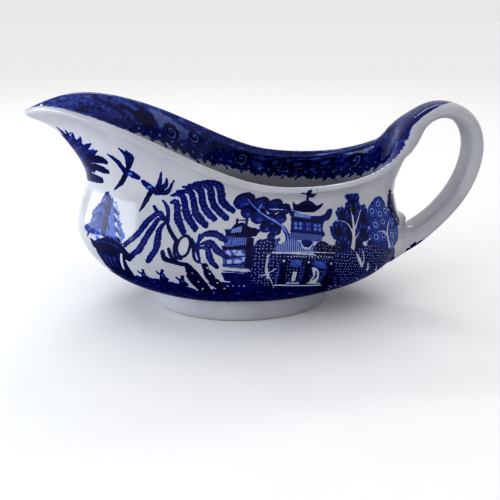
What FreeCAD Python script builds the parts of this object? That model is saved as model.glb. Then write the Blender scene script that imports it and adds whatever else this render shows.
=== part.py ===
import FreeCAD, Part
import math
import os

# Gravy boat of glazed earthenware: an oval bowl drawn out into a pouring spout, a plain oval foot ring,
# a wide looped strap handle, and the dab of slip that seals the handle's lower joint.
# Frame: millimetres, +Z up, origin at the centre of the foot on the resting plane.
# The spout points along -X, the handle along +X, and the boat is the same on both sides of y = 0.

Vector = FreeCAD.Vector

# Driving dimensions.
WALL = 3.4                  # wall of the bowl
LIP = 4.4                   # thickness of the rolled lip
SPOUT_LIP = 3.2             # thickness of the lip at the tip of the spout
STATIONS = 20               # points round each ring of the bowl
FOOT_HEIGHT = 10.0          # from the table to the crease under the bowl
FOOT_LENGTH = 82.0
FOOT_WIDTH = 54.0
FOOT_SEAM = 0.65            # where the foot ring's surfaces close, as a fraction of the way round
BOWL_SEAM = 0.25

# The foot ring's section, as (outward step from the foot's outline, height): a bulging outer side down to
# a narrow rounded edge, and a sloping inner side. Both run up into the bowl, which cuts them off.
FOOT_OUTSIDE = ((-1.2, 0.0), (-0.35, 0.5), (0.25, 2.2), (0.35, 4.4), (0.0, 7.0), (-0.7, FOOT_HEIGHT),
                (-0.9, FOOT_HEIGHT + 4.0))
FOOT_INSIDE = ((-3.9, -1.0), (-4.1, 0.5), (-4.6, 3.0), (-5.2, FOOT_HEIGHT), (-5.2, FOOT_HEIGHT + 6.0))

# The bowl's outer rings from the underside up to the neck.
# Each is (left x, left z), (middle x, middle z), (right x, right z), half width.
LOWER_RINGS = (
    ((-34.0, 7.6), (0.4, 7.6), (35.0, 7.6), 20.5),
    ((-42.5, 9.6), (0.4, 9.6), (43.5, 9.6), 27.0),
    ((-57.6, 15.5), (0.2, 15.5), (63.2, 15.3), 34.4),
    ((-69.2, 25.0), (0.0, 25.0), (73.6, 24.5), 39.2),
    ((-75.7, 41.0), (0.0, 38.0), (75.6, 37.0), 41.4),
)
NECK = ((-69.8, 60.5), (2.0, 53.5), (70.9, 54.5), 38.4)

# The cavity's flat floor and the start of its rise, from the second ring: length and width factors, rise.
FLOOR_OVALS = ((0.86, 0.80, 0.0), (1.10, 1.02, 1.2))
CAVITY_TOP = 130.0                  # well above the lip and the handle
FILL_TOP = 66.0                     # above the neck

# Crest of the lip from the handle round to the tip of the spout, one point for each station of one side.
LIP_CREST = (
    (75.8, 0.0, 83.0),
    (73.0, 11.2, 79.2),
    (64.4, 21.8, 72.6),
    (49.6, 29.8, 67.2),
    (29.6, 35.2, 65.2),
    (6.4, 39.0, 67.4),
    (-17.8, 40.6, 76.6),
    (-41.0, 37.8, 87.0),
    (-62.8, 31.6, 94.0),
    (-81.8, 19.6, 95.2),
    (-93.1, 0.0, 91.4),
)
FLARE_STEPS = (0.30, 0.56, 0.80)    # heights of the rings between the neck and the lip
FLARE_POWER = 2.1                   # how late the wall turns outward on its way up

# The strap handle's centre line in the plane y = 0: x, z, thickness, width.
STRAP = (
    (64.5, 54.0, 8.0, 30.0),
    (67.4, 67.0, 8.4, 31.0),
    (73.5, 80.0, 8.6, 25.0),
    (80.3, 87.4, 7.6, 19.0),
    (88.6, 90.9, 7.2, 16.4),
    (96.8, 89.4, 7.2, 15.6),
    (102.4, 84.2, 7.4, 15.6),
    (105.5, 76.4, 7.8, 15.6),
    (105.5, 67.0, 8.0, 15.6),
    (102.5, 56.4, 8.0, 15.6),
    (96.4, 46.2, 8.0, 15.6),
    (88.5, 37.6, 8.6, 16.0),
    (80.0, 31.2, 10.4, 17.0),
    (69.0, 27.4, 12.6, 18.0),
)
STRAP_SQUARENESS = 2.7      # exponent of the strap's section: 2 is an ellipse
STRAP_POINTS = 16
POLE_ROUNDS = 24            # rounds of correction that bring a ring's spline onto its points

# The dab of slip in the lower corner of the finger gap.
SLIP_CENTRE = (76.6, 0.0, 39.4)
SLIP_RADII = (4.6, 6.2, 4.6)


def station_angles():
    """Angles round a ring, from the handle (0) over the far side to the spout (pi) and back."""
    return [2.0 * math.pi * k / STATIONS for k in range(STATIONS)]


def oval(left, middle, right, half_width):
    """Points of a smooth oval through its left, middle and right places, which may differ in height."""
    points = []
    for angle in station_angles():
        c = math.cos(angle)
        along = []
        for low, mid, high in zip(left, middle, right):
            along.append(mid + 0.5 * (high - low) * c + (0.5 * (high + low) - mid) * c * c)
        points.append(Vector(along[0], half_width * math.sin(angle), along[1]))
    return points


def lip_crest():
    """The crest of the lip, mirrored from one side to a closed ring."""
    far_side = [Vector(*p) for p in LIP_CREST]
    near_side = [Vector(p.x, -p.y, p.z) for p in reversed(far_side[1:-1])]
    return far_side + near_side


def flare(neck, crest, step):
    """A ring part of the way from the neck up to the crest: it rises first and then turns outward."""
    ring = []
    for low, high in zip(neck, crest):
        out = step ** FLARE_POWER
        ring.append(Vector(low.x + (high.x - low.x) * out,
                           low.y + (high.y - low.y) * out,
                           low.z + (high.z - low.z) * step))
    return ring


def unit(vector):
    return vector / vector.Length


def outward_normals(below, ring, above):
    """Outward normals of the wall at a ring, from its neighbours along and across."""
    normals = []
    count = len(ring)
    for k in range(count):
        round_ring = ring[(k + 1) % count] - ring[k - 1]
        up_wall = above[k] - below[k]
        normals.append(unit(round_ring.cross(up_wall)))
    return normals


def moved(ring, normals, distance):
    return [p + n * distance for p, n in zip(ring, normals)]


def spread(rings):
    """Parameters for the rings, spaced by the square root of the mean distance between them."""
    parameters = [0.0]
    for low, high in zip(rings, rings[1:]):
        mean = sum((q - p).Length for p, q in zip(low, high)) / len(low)
        parameters.append(parameters[-1] + math.sqrt(mean))
    return parameters


def closed_poles(points):
    """Poles of a closed, evenly spaced cubic spline that passes through the points."""
    count = len(points)
    poles = list(points)
    for _ in range(POLE_ROUNDS):
        reached = [(poles[k - 1] + poles[k] * 4.0 + poles[(k + 1) % count]) / 6.0 for k in range(count)]
        poles = [pole + point - at for pole, point, at in zip(poles, points, reached)]
    return poles


def skin(rings, seam=BOWL_SEAM):
    """A closed solid whose side passes smoothly through every ring, with flat ends on the first and last.

    The seam lies at that fraction of the way round.
    """
    parameters = spread(rings)
    columns = []
    for k in range(len(rings[0])):
        column = Part.BSplineCurve()
        column.interpolate(Points=[ring[k] for ring in rings], Parameters=parameters)
        columns.append(column)
    rows = zip(*[column.getPoles() for column in columns])
    grid = list(zip(*[closed_poles(row) for row in rows]))
    count = len(grid)
    start = int(seam * count)
    grid = grid[start:] + grid[:start]
    surface = Part.BSplineSurface()
    round_knots = [float(k) for k in range(count + 1)]
    round_mults = [1] * (count + 1)
    surface.buildFromPolesMultsKnots([list(row) for row in grid], round_mults, columns[0].getMultiplicities(),
                                     round_knots, columns[0].getKnots(), True, False, 3, 3)
    side = surface.toShape()
    first, last = parameters[0], parameters[-1]
    caps = [Part.Face(Part.Wire([surface.vIso(v).toShape()])) for v in (first, last)]
    shell = Part.makeShell([side] + caps)
    shell.sewShape()
    solid = Part.makeSolid(shell)
    if solid.Volume < 0.0:
        solid.reverse()
    return solid


def outer_rings():
    """The bowl's outer wall from its underside to just below the lip."""
    rings = [oval(*r) for r in LOWER_RINGS]
    neck = oval(*NECK)
    crest = lip_crest()
    rings.append(neck)
    for step in FLARE_STEPS:
        rings.append(flare(neck, crest, step))
    return rings, crest


def wall_normals(rings, crest):
    stack = rings + [crest]
    return [outward_normals(stack[max(i - 1, 0)], stack[i], stack[i + 1]) for i in range(len(rings))]


def lip_rings(rings, crest):
    """The rolled lip: its outer edge, its crest and its inner edge."""
    below = rings[-1]
    normals = outward_normals(below, crest, moved(crest, [Vector(0, 0, 1)] * STATIONS, 1.0))
    outer, inner = [], []
    for low, top, n, angle in zip(below, crest, normals, station_angles()):
        towards_spout = (0.5 - 0.5 * math.cos(angle)) ** 2
        half = 0.5 * (LIP + (SPOUT_LIP - LIP) * towards_spout)
        along_wall = unit(top - low)
        out = unit(n - along_wall * n.dot(along_wall))
        drop = top - along_wall * half
        outer.append(drop + out * half)
        inner.append(drop - out * half)
    return outer, crest, inner


def inner_rings():
    """The cavity's wall from the flat floor up to the lip's inner edge."""
    rings, crest = outer_rings()
    normals = wall_normals(rings, crest)
    floor_z = LOWER_RINGS[0][0][1] + WALL
    inner = [moved(ring, n, -WALL) for ring, n in zip(rings[2:], normals[2:])]
    floors = []
    for length_factor, width_factor, rise in FLOOR_OVALS:
        floors.append([Vector(length_factor * p.x, width_factor * p.y, floor_z + rise) for p in rings[1]])
    return floors + inner


def make_bowl():
    rings, crest = outer_rings()
    outer, top, inner = lip_rings(rings, crest)
    return skin(rings + [outer, top, inner] + list(reversed(inner_rings())))


def make_filled():
    """The bowl's outer shape without its hollow, up to the neck."""
    rings, _ = outer_rings()
    lower = rings[:len(LOWER_RINGS) + 1]
    level_top = [Vector(p.x, p.y, FILL_TOP) for p in lower[-1]]
    return skin(lower + [level_top])


def make_cavity():
    """Everything inside the bowl, carried straight up past the lip."""
    rings, crest = outer_rings()
    inner_edge = lip_rings(rings, crest)[2]
    above = [[Vector(p.x, p.y, z) for p in inner_edge] for z in (CAVITY_TOP - 20.0, CAVITY_TOP)]
    return skin(inner_rings() + [inner_edge] + above)


def foot_oval(half_length, half_width, z):
    return oval((-half_length, z), (0.0, z), (half_length, z), half_width)


def make_foot(filled):
    """The oval foot ring, cut off where it meets the underside of the bowl."""
    length = 0.5 * FOOT_LENGTH
    width = 0.5 * FOOT_WIDTH
    solid = skin([foot_oval(length + d, width + d, z) for d, z in FOOT_OUTSIDE], FOOT_SEAM)
    inside = skin([foot_oval(length + d, width + d, z) for d, z in FOOT_INSIDE], FOOT_SEAM)
    return solid.cut(inside).cut(filled)


def strap_frames():
    """Centre, direction, thickness and width at each place on the strap."""
    frames = []
    last = len(STRAP) - 1
    for i, (x, z, thickness, width) in enumerate(STRAP):
        before = STRAP[max(i - 1, 0)]
        after = STRAP[min(i + 1, last)]
        direction = unit(Vector(after[0] - before[0], 0.0, after[1] - before[1]))
        frames.append((Vector(x, 0.0, z), direction, thickness, width))
    return frames


def strap_section(centre, direction, thickness, width):
    across = Vector(0.0, 1.0, 0.0)
    outward = across.cross(direction)
    points = []
    for k in range(STRAP_POINTS):
        angle = 2.0 * math.pi * k / STRAP_POINTS
        c, s = math.cos(angle), math.sin(angle)
        power = 2.0 / STRAP_SQUARENESS
        a = math.copysign(abs(c) ** power, c)
        b = math.copysign(abs(s) ** power, s)
        points.append(centre + across * (0.5 * width * a) + outward * (0.5 * thickness * b))
    return points


def make_handle(bowl, cavity):
    strap = skin([strap_section(*frame) for frame in strap_frames()])
    return strap.cut(bowl).cut(cavity)


def make_slip(bowl, handle, cavity):
    """The small squeezed-out fillet of slip in the corner between the wall and the strap."""
    ball = Part.makeSphere(1.0)
    stretch = FreeCAD.Matrix()
    stretch.scale(*SLIP_RADII)
    dab = ball.transformGeometry(stretch)
    dab.translate(Vector(*SLIP_CENTRE))
    return dab.cut(bowl).cut(handle).cut(cavity)


def largest_solid(shape):
    return max(shape.Solids, key=lambda solid: solid.Volume)


def save(name, shape):
    solid = largest_solid(shape)
    box = solid.BoundBox
    print(name, "valid", solid.isValid(), "volume", round(solid.Volume, 1), "solids", len(shape.Solids),
          "box", [round(v, 2) for v in (box.XMin, box.XMax, box.YMin, box.YMax, box.ZMin, box.ZMax)])
    solid.exportStep("parts/" + name + ".step")


def main():
    os.makedirs("parts", exist_ok=True)
    bowl = make_bowl()
    cavity = make_cavity()
    handle = largest_solid(make_handle(bowl, cavity))
    save("bowl", bowl)
    save("foot_ring", make_foot(make_filled()))
    save("handle", handle)
    save("handle_slip", make_slip(bowl, handle, cavity))


main()
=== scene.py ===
import math

import bpy
import numpy as np
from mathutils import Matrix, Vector
from mathutils.bvhtree import BVHTree


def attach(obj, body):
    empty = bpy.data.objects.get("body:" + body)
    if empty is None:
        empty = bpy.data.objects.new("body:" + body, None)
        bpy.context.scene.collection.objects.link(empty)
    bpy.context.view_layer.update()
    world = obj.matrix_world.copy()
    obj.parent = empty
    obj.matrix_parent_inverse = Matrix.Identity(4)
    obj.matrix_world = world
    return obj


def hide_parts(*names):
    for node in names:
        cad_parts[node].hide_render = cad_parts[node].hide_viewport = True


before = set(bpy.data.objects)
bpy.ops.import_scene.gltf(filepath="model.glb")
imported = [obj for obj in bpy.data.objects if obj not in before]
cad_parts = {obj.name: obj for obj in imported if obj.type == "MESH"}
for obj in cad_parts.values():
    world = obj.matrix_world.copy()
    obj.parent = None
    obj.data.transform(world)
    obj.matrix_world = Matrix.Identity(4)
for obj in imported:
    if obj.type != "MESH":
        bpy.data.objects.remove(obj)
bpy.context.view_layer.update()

# Gravy boat of glazed earthenware with a blue underglaze print. Lengths are in millimetres until a mesh
# is made, which scales them to metres. The outlines repeat those of the CAD solids, so that the bowl, the
# foot and the strap are smooth surfaces in the same places, and glaze runs over the joints as fillets.
MM = 0.001

STATIONS = 20
WALL = 3.4
LIP = 4.4
SPOUT_LIP = 3.2
LOWER_RINGS = (
    ((-34.0, 7.6), (0.4, 7.6), (35.0, 7.6), 20.5),
    ((-42.5, 9.6), (0.4, 9.6), (43.5, 9.6), 27.0),
    ((-57.6, 15.5), (0.2, 15.5), (63.2, 15.3), 34.4),
    ((-69.2, 25.0), (0.0, 25.0), (73.6, 24.5), 39.2),
    ((-75.7, 41.0), (0.0, 38.0), (75.6, 37.0), 41.4),
)
NECK = ((-69.8, 60.5), (2.0, 53.5), (70.9, 54.5), 38.4)
FLOOR_OVALS = ((0.86, 0.80, 0.0), (1.10, 1.02, 1.2))
LIP_CREST = (
    (75.8, 0.0, 83.0),
    (73.0, 11.2, 79.2),
    (64.4, 21.8, 72.6),
    (49.6, 29.8, 67.2),
    (29.6, 35.2, 65.2),
    (6.4, 39.0, 67.4),
    (-17.8, 40.6, 76.6),
    (-41.0, 37.8, 87.0),
    (-62.8, 31.6, 94.0),
    (-81.8, 19.6, 95.2),
    (-93.1, 0.0, 91.4),
)
FLARE_STEPS = (0.30, 0.56, 0.80)
FLARE_POWER = 2.1
ROW_CREASE, ROW_BELLY, ROW_CREST = 1, 4, 10     # places of three rings in bowl_rings()

# The strap's centre line: x, z, thickness, width. Its root lies inside the thickness of the bowl's wall.
STRAP = (
    (69.9, 58.0, 1.6, 26.0),
    (71.0, 68.0, 2.4, 28.0),
    (73.6, 76.4, 4.8, 27.0),
    (76.4, 82.6, 7.2, 22.5),
    (81.0, 87.6, 7.6, 18.4),
    (88.6, 90.7, 7.2, 16.4),
    (96.8, 89.2, 7.2, 15.6),
    (102.4, 84.2, 7.4, 15.6),
    (105.5, 76.4, 7.8, 15.6),
    (105.5, 67.0, 8.0, 15.6),
    (102.5, 56.4, 8.0, 15.6),
    (96.4, 46.2, 8.0, 15.6),
    (88.5, 37.6, 8.6, 16.0),
    (80.0, 31.2, 10.2, 17.0),
    (70.5, 27.6, 12.0, 18.0),
)
SLIP_CENTRE = (76.8, 0.0, 39.6)
SLIP_RADII = (3.8, 5.6, 3.2)
SLIP_HEIGHT = 3.4

FOOT_LENGTH = 82.0
FOOT_WIDTH = 54.0
FOOT_OUTSIDE = ((-1.2, 0.0), (-0.35, 0.5), (0.25, 2.2), (0.35, 4.4), (0.0, 7.0), (-0.7, 10.0), (-2.6, 12.0))
FOOT_INSIDE = ((-3.4, 0.0), (-4.1, 0.5), (-4.6, 3.0), (-5.2, 8.6))

FINE = 0.36                 # spacing of the mesh where the print lies
COARSE = 1.6
PRINT_DEPTH = 32.0          # how far below the lip the fine mesh goes inside the bowl


# ---------------------------------------------------------------- smooth surfaces

def unit(vectors):
    """Vectors scaled to a length of one."""
    return vectors / np.linalg.norm(vectors, axis=-1, keepdims=True)


def station_angles():
    """The angles of the stations, from the handle round to the spout and back."""
    return 2.0 * np.pi * np.arange(STATIONS) / STATIONS


def oval(left, middle, right, half_width):
    """Points of a smooth oval through its left, middle and right places, which may differ in height."""
    c = np.cos(station_angles())
    along = [m + 0.5 * (h - l) * c + (0.5 * (h + l) - m) * c * c for l, m, h in zip(left, middle, right)]
    return np.stack([along[0], half_width * np.sin(station_angles()), along[1]], 1)


def crest_ring():
    """The crest of the lip, from its listed half and that half's mirror image."""
    far_side = np.array(LIP_CREST, float)
    near_side = far_side[-2:0:-1] * (1.0, -1.0, 1.0)
    return np.vstack([far_side, near_side])


def ring_normals(below, ring, above):
    """Outward directions at a ring's points, from its neighbours."""
    return unit(np.cross(np.roll(ring, -1, 0) - np.roll(ring, 1, 0), above - below))


def outer_rings():
    """The rings of the outer wall up to the flare, and the crest of the lip."""
    rings = [oval(*r) for r in LOWER_RINGS]
    neck, crest = oval(*NECK), crest_ring()
    rings.append(neck)
    for step in FLARE_STEPS:
        out = step ** FLARE_POWER
        rings.append(neck + (crest - neck) * (out, out, step))
    return rings, crest


def lip_rings(rings, crest):
    """The outer side, crest and inner side of the rounded lip, thinner at the spout."""
    normals = ring_normals(rings[-1], crest, crest + (0.0, 0.0, 1.0))
    towards_spout = (0.5 - 0.5 * np.cos(station_angles())) ** 2
    half = 0.5 * (LIP + (SPOUT_LIP - LIP) * towards_spout)[:, None]
    along_wall = unit(crest - rings[-1])
    out = unit(normals - along_wall * (normals * along_wall).sum(1, keepdims=True))
    drop = crest - along_wall * half
    return [drop + out * half, crest, drop - out * half]


def inner_rings():
    """The rings of the cavity from its floor upwards, a wall's thickness inside the outer ones."""
    rings, crest = outer_rings()
    stack = rings + [crest]
    inner = []
    for i in range(2, len(rings)):
        inner.append(rings[i] - ring_normals(stack[i - 1], rings[i], stack[i + 1]) * WALL)
    floor_z = LOWER_RINGS[0][0][1] + WALL
    floors = []
    for length_factor, width_factor, rise in FLOOR_OVALS:
        oval_floor = rings[1] * (length_factor, width_factor, 0.0)
        floors.append(oval_floor + (0.0, 0.0, floor_z + rise))
    return floors + inner


def bowl_rings():
    """Every ring of the bowl, from its underside up the outer wall, over the lip and down to the floor."""
    rings, crest = outer_rings()
    return np.array(rings + lip_rings(rings, crest) + inner_rings()[::-1])


def closed_weights(u):
    """Weights that evaluate a closed cubic spline through the stations at the places u."""
    n = STATIONS
    eye = np.eye(n)
    reach = (4.0 * eye + np.roll(eye, 1, 1) + np.roll(eye, -1, 1)) / 6.0
    i = np.floor(u).astype(int)
    f = u - i
    parts = ((1 - f) ** 3, 3 * f ** 3 - 6 * f ** 2 + 4, -3 * f ** 3 + 3 * f ** 2 + 3 * f + 1, f ** 3)
    weights = np.zeros((len(u), n))
    for offset, part in enumerate(parts):
        np.add.at(weights, (np.arange(len(u)), (i + offset - 1) % n), part / 6.0)
    return weights @ np.linalg.inv(reach)


def open_weights(knots, x):
    """Weights that evaluate an open cubic spline through the knots at the places x."""
    n = len(knots)
    h = np.diff(knots)
    left, right = np.zeros((n, n)), np.zeros((n, n))
    for i in range(1, n - 1):
        left[i, i - 1:i + 2] = h[i - 1], 2.0 * (h[i - 1] + h[i]), h[i]
        right[i, i - 1:i + 2] = 6.0 / h[i - 1], -6.0 / h[i - 1] - 6.0 / h[i], 6.0 / h[i]
    left[0, :3] = h[1], -(h[0] + h[1]), h[0]
    left[-1, -3:] = h[-1], -(h[-1] + h[-2]), h[-2]
    second = np.linalg.solve(left, right)
    i = np.clip(np.searchsorted(knots, x, side="right") - 1, 0, n - 2)
    a = (knots[i + 1] - x) / h[i]
    b = 1.0 - a
    weights = np.zeros((len(x), n))
    rows = np.arange(len(x))
    weights[rows, i] += a
    weights[rows, i + 1] += b
    scale = (h[i] ** 2 / 6.0)[:, None]
    return weights + scale * ((a ** 3 - a)[:, None] * second[i] + (b ** 3 - b)[:, None] * second[i + 1])


def root_spacing(rings):
    """Spline parameters of the rings, spaced by the root of the mean distance between them."""
    gaps = np.linalg.norm(np.diff(rings, axis=0), axis=2).mean(1)
    return np.concatenate([[0.0], np.cumsum(np.sqrt(gaps))])


def surface(rings, u, v):
    """Points of the smooth surface through the rings, as rows along v and columns along u."""
    knots = root_spacing(rings)
    return np.einsum("vr,rkc,uk->vuc", open_weights(knots, v), rings, closed_weights(u))


def path_lengths(points):
    """Distance walked along the first axis of a grid of points."""
    steps = np.linalg.norm(np.diff(points, axis=0), axis=-1)
    return np.concatenate([np.zeros((1,) + steps.shape[1:]), np.cumsum(steps, axis=0)])


# ---------------------------------------------------------------- strap handle

STRAP_SQUARENESS = 2.7
WRAP_RADIUS = 21.5          # the wall's curve in plan where the strap's root is wrapped round it
DROOP_RADIUS = 30.0         # how the root's edges droop with the lip
WRAP_X = (75.0, 87.0)       # the wrap fades out between these
FILLET_HEIGHTS = (24.0, 34.0, 41.0, 50.0, 62.0, 80.0)
FILLET_RADII = (7.0, 6.0, 3.0, 0.4, 2.0, 10.0)
FADE_START = 2.0            # how far below the lip the inner fillet begins to fade
FADE_RUN = 11.0
WALL_JOINT_X = 50.0         # the wall is lifted towards the strap where x is more than this
WALL_JOINT_HALF = 34.0      # and y is within this
STRAP_JOINT_X = 92.0        # the strap is lifted towards the wall where x is less than this


def strap_grid(step=0.45, across=112):
    """The strap's surface as rows of sections, with its root wrapped to follow the wall of the bowl."""
    stations = np.array(STRAP)
    gaps = np.linalg.norm(np.diff(stations[:, :2], axis=0), axis=1)
    knots = np.concatenate([[0.0], np.cumsum(gaps)])
    values = open_weights(knots, np.linspace(0.0, knots[-1], int(knots[-1] / step))) @ stations
    centre = np.stack([values[:, 0], np.zeros(len(values)), values[:, 1]], 1)
    along = unit(np.gradient(centre, axis=0))
    outward = np.stack([-along[:, 2], np.zeros(len(values)), along[:, 0]], 1)
    turn = 2.0 * np.pi * np.arange(across) / across
    power = 2.0 / STRAP_SQUARENESS
    side = -np.sign(np.sin(turn)) * np.abs(np.sin(turn)) ** power
    up = np.sign(np.cos(turn)) * np.abs(np.cos(turn)) ** power
    outline = np.stack([side, up], 1)
    walked = path_lengths(np.vstack([outline, outline[:1]]) * (2.0, 1.0))
    even = np.linspace(0.0, walked[-1], across, endpoint=False)
    side = np.interp(even, walked, np.append(side, side[0]))
    up = np.interp(even, walked, np.append(up, up[0]))
    grid = centre[:, None, :] + up[None, :, None] * (0.5 * values[:, 2:3] * outward)[:, None, :]
    grid[:, :, 1] = side[None, :] * 0.5 * values[:, 3:4]
    fade = np.clip((WRAP_X[1] - centre[:, 0]) / (WRAP_X[1] - WRAP_X[0]), 0.0, 1.0) * (centre[:, 2] > 50.0)
    fade = (fade * fade * (3.0 - 2.0 * fade))[:, None]
    bend = fade * grid[:, :, 1] ** 2
    grid[:, :, 0] -= bend / (2.0 * WRAP_RADIUS)
    grid[:, :, 2] -= bend / (2.0 * DROOP_RADIUS)
    return grid


def fillet_radius(z):
    """The upper joint sweeps out of the lip; the lower one is tight above and soft below."""
    return np.interp(z, FILLET_HEIGHTS, FILLET_RADII)


def fillet_lift(points, normals, distance_to_other, radius, strength=1.0):
    """Lift surface points so that they and the other body's points form one smoothly filleted surface."""
    lift = np.zeros(len(points))
    for _ in range(6):
        other = distance_to_other(points + normals * lift[:, None])
        near = np.maximum(radius - np.abs(lift - other), 0.0) / radius
        lift = 0.5 * lift + 0.5 * near * near * radius / 4.0 * strength
    return lift


# ---------------------------------------------------------------- meshes

def grid_faces(rows, columns):
    """Quads of a grid of rows by columns whose columns close into rings."""
    i = np.arange(rows - 1)[:, None] * columns
    j = np.arange(columns)[None, :]
    k = (j + 1) % columns
    quads = np.stack([i + j, i + k, i + columns + k, i + columns + j], -1)
    return quads.reshape(-1, 4)


def make_piece(name, points, quads, triangles=(), attributes=None):
    """A smooth-shaded mesh object from numpy arrays in millimetres."""
    mesh = bpy.data.meshes.new(name)
    quads = np.asarray(quads, dtype=np.int32).reshape(-1, 4)
    triangles = np.asarray(triangles, dtype=np.int32).reshape(-1, 3)
    mesh.vertices.add(len(points))
    mesh.vertices.foreach_set("co", (points * MM).astype(np.float32).ravel())
    mesh.loops.add(quads.size + triangles.size)
    mesh.loops.foreach_set("vertex_index", np.concatenate([quads.ravel(), triangles.ravel()]))
    mesh.polygons.add(len(quads) + len(triangles))
    starts = np.concatenate([np.arange(len(quads)) * 4, quads.size + np.arange(len(triangles)) * 3])
    mesh.polygons.foreach_set("loop_start", starts.astype(np.int32))
    mesh.update(calc_edges=True)
    mesh.validate()
    mesh.shade_smooth()
    for key, values in (attributes or {}).items():
        layer = mesh.attributes.new(key, "FLOAT", "POINT")
        layer.data.foreach_set("value", np.asarray(values, dtype=np.float32))
    piece = bpy.data.objects.new(name, mesh)
    bpy.context.scene.collection.objects.link(piece)
    return piece


def row_places(rings):
    """Places along the bowl's section: close together where the print lies, wider apart elsewhere."""
    knots = root_spacing(rings)
    dense = np.linspace(0.0, knots[-1], 2400)
    some_columns = np.linspace(0.0, STATIONS, 24, endpoint=False)
    walked = path_lengths(surface(rings, some_columns, dense)).mean(1)
    crease = np.interp(knots[ROW_CREASE], dense, walked)
    inside_end = np.interp(knots[ROW_CREST], dense, walked) + PRINT_DEPTH
    places = []
    for a, b, step in ((0.0, crease, COARSE), (crease, inside_end, FINE), (inside_end, walked[-1], COARSE)):
        places.append(np.linspace(a, b, max(2, int(round((b - a) / step))), endpoint=False))
    places.append([walked[-1]])
    counts = [len(p) for p in places]
    return np.interp(np.concatenate(places), walked, dense), counts


def column_places(rings):
    """Places round the bowl, evenly spaced along the belly, starting at the tip of the spout."""
    knots = root_spacing(rings)
    u = np.linspace(0.5 * STATIONS, 1.5 * STATIONS, 2001)
    belly = surface(rings, u % STATIONS, knots[ROW_BELLY:ROW_BELLY + 1])[0]
    walked = path_lengths(belly)
    count = 4 * int(round(walked[-1] / FINE / 4))
    places = np.linspace(0.0, walked[-1], count, endpoint=False)
    return np.interp(places, walked, u) % STATIONS, places, walked[-1]


def vertex_normals(points, rows, columns):
    """Outward directions at the points of a grid whose columns close into rings."""
    grid = points.reshape(rows, columns, 3)
    across = np.roll(grid, -1, 1) - np.roll(grid, 1, 1)
    up = np.gradient(grid, axis=0)
    return unit(np.cross(across, up)).reshape(-1, 3)


class BowlSheet:
    """The bowl's grid of points with its print coordinates: round from the spout, and up or down the wall."""

    def __init__(self):
        rings = bowl_rings()
        knots = root_spacing(rings)
        v, self.counts = row_places(rings)
        u, self.around, self.full = column_places(rings)
        grid = surface(rings, u, v)
        rows, columns = grid.shape[:2]
        walked = path_lengths(grid)
        self.up_wall = walked - walked[np.searchsorted(v, knots[ROW_CREASE])]
        crest_row = np.searchsorted(v, knots[ROW_CREST])
        self.down_wall = walked - walked[crest_row]
        points = grid.reshape(-1, 3)
        normals = vertex_normals(points, rows, columns)
        bump = slip_bump(points) * (self.down_wall.reshape(-1) < 0.0)
        self.grid = (points + normals * bump[:, None]).reshape(rows, columns, 3)
        self.normals = vertex_normals(self.grid.reshape(-1, 3), rows, columns)


def thinned(grid, counts):
    """Values of a grid in the order of the bowl's vertices."""
    first, second = counts[0], counts[0] + counts[1]
    parts = (grid[:first, ::4], grid[first:second], grid[second:, ::4])
    return np.concatenate([part.reshape(-1, *grid.shape[2:]) for part in parts])


def joined_grid(grid, counts):
    """Vertices and faces of the bowl: full columns where the mesh is fine, a quarter of them elsewhere."""
    columns = grid.shape[1]
    few = columns // 4
    first, second = counts[0], counts[0] + counts[1]
    index = [np.arange(first * few).reshape(first, few)]
    index.append(index[-1][-1, -1] + 1 + np.arange((second - first) * columns).reshape(-1, columns))
    index.append(index[-1][-1, -1] + 1 + np.arange((len(grid) - second) * few).reshape(-1, few))
    quads = [grid_faces(*block.shape) + block[0, 0] for block in index]
    triangles = [stitch(index[0][-1], index[1][0]), stitch(index[2][0], index[1][-1])[:, ::-1]]
    points, ends = fans(thinned(grid, counts), ((index[0][0], True), (index[2][-1], False)))
    return points, np.concatenate(quads), np.concatenate(triangles + ends)


def stitch(few, many):
    """Triangles between a ring and one with four times as many points."""
    after = np.roll(few, -1)
    m = [np.roll(many, -k)[::4] for k in range(5)]
    triples = ((few, after, m[2]), (few, m[1], m[0]), (few, m[2], m[1]), (after, m[3], m[2]),
               (after, m[4], m[3]))
    return np.concatenate([np.stack(t, 1) for t in triples])


def slip_bump(points):
    """Height of the slip pressed into the corner above the handle's lower end."""
    away = (points - SLIP_CENTRE) / SLIP_RADII
    return SLIP_HEIGHT * np.exp(-(away[:, 1] ** 2 + away[:, 2] ** 2)) * (points[:, 0] > 60.0)


def grid_tree(grid):
    """A search tree over a grid of points, for the nearest place on its surface."""
    faces = grid_faces(grid.shape[0], grid.shape[1])
    return BVHTree.FromPolygons([Vector(p) for p in grid.reshape(-1, 3)], faces.tolist())


def tree_distance(tree):
    """Signed distance to a surface, negative behind its faces."""
    def distance(points):
        values = np.empty(len(points))
        for i, p in enumerate(points):
            place, normal, _, gap = tree.find_nearest(Vector(p))
            values[i] = gap if (Vector(p) - place).dot(normal) > 0.0 else -gap
        return values
    return distance


def joint_fade(down_wall):
    """The joint's fillet stops a little way down inside the lip."""
    return np.clip(1.0 - (down_wall - FADE_START) / FADE_RUN, 0.0, 1.0)


def fans(points, rings):
    """Close rings of vertices with a fan each, turned one way or the other."""
    triangles = []
    for ring, flip in rings:
        points = np.vstack([points, points[ring].mean(0)])
        fan = np.stack([ring, np.roll(ring, -1), np.full(len(ring), len(points) - 1)], 1)
        triangles.append(fan[:, ::-1] if flip else fan)
    return points, triangles


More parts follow.
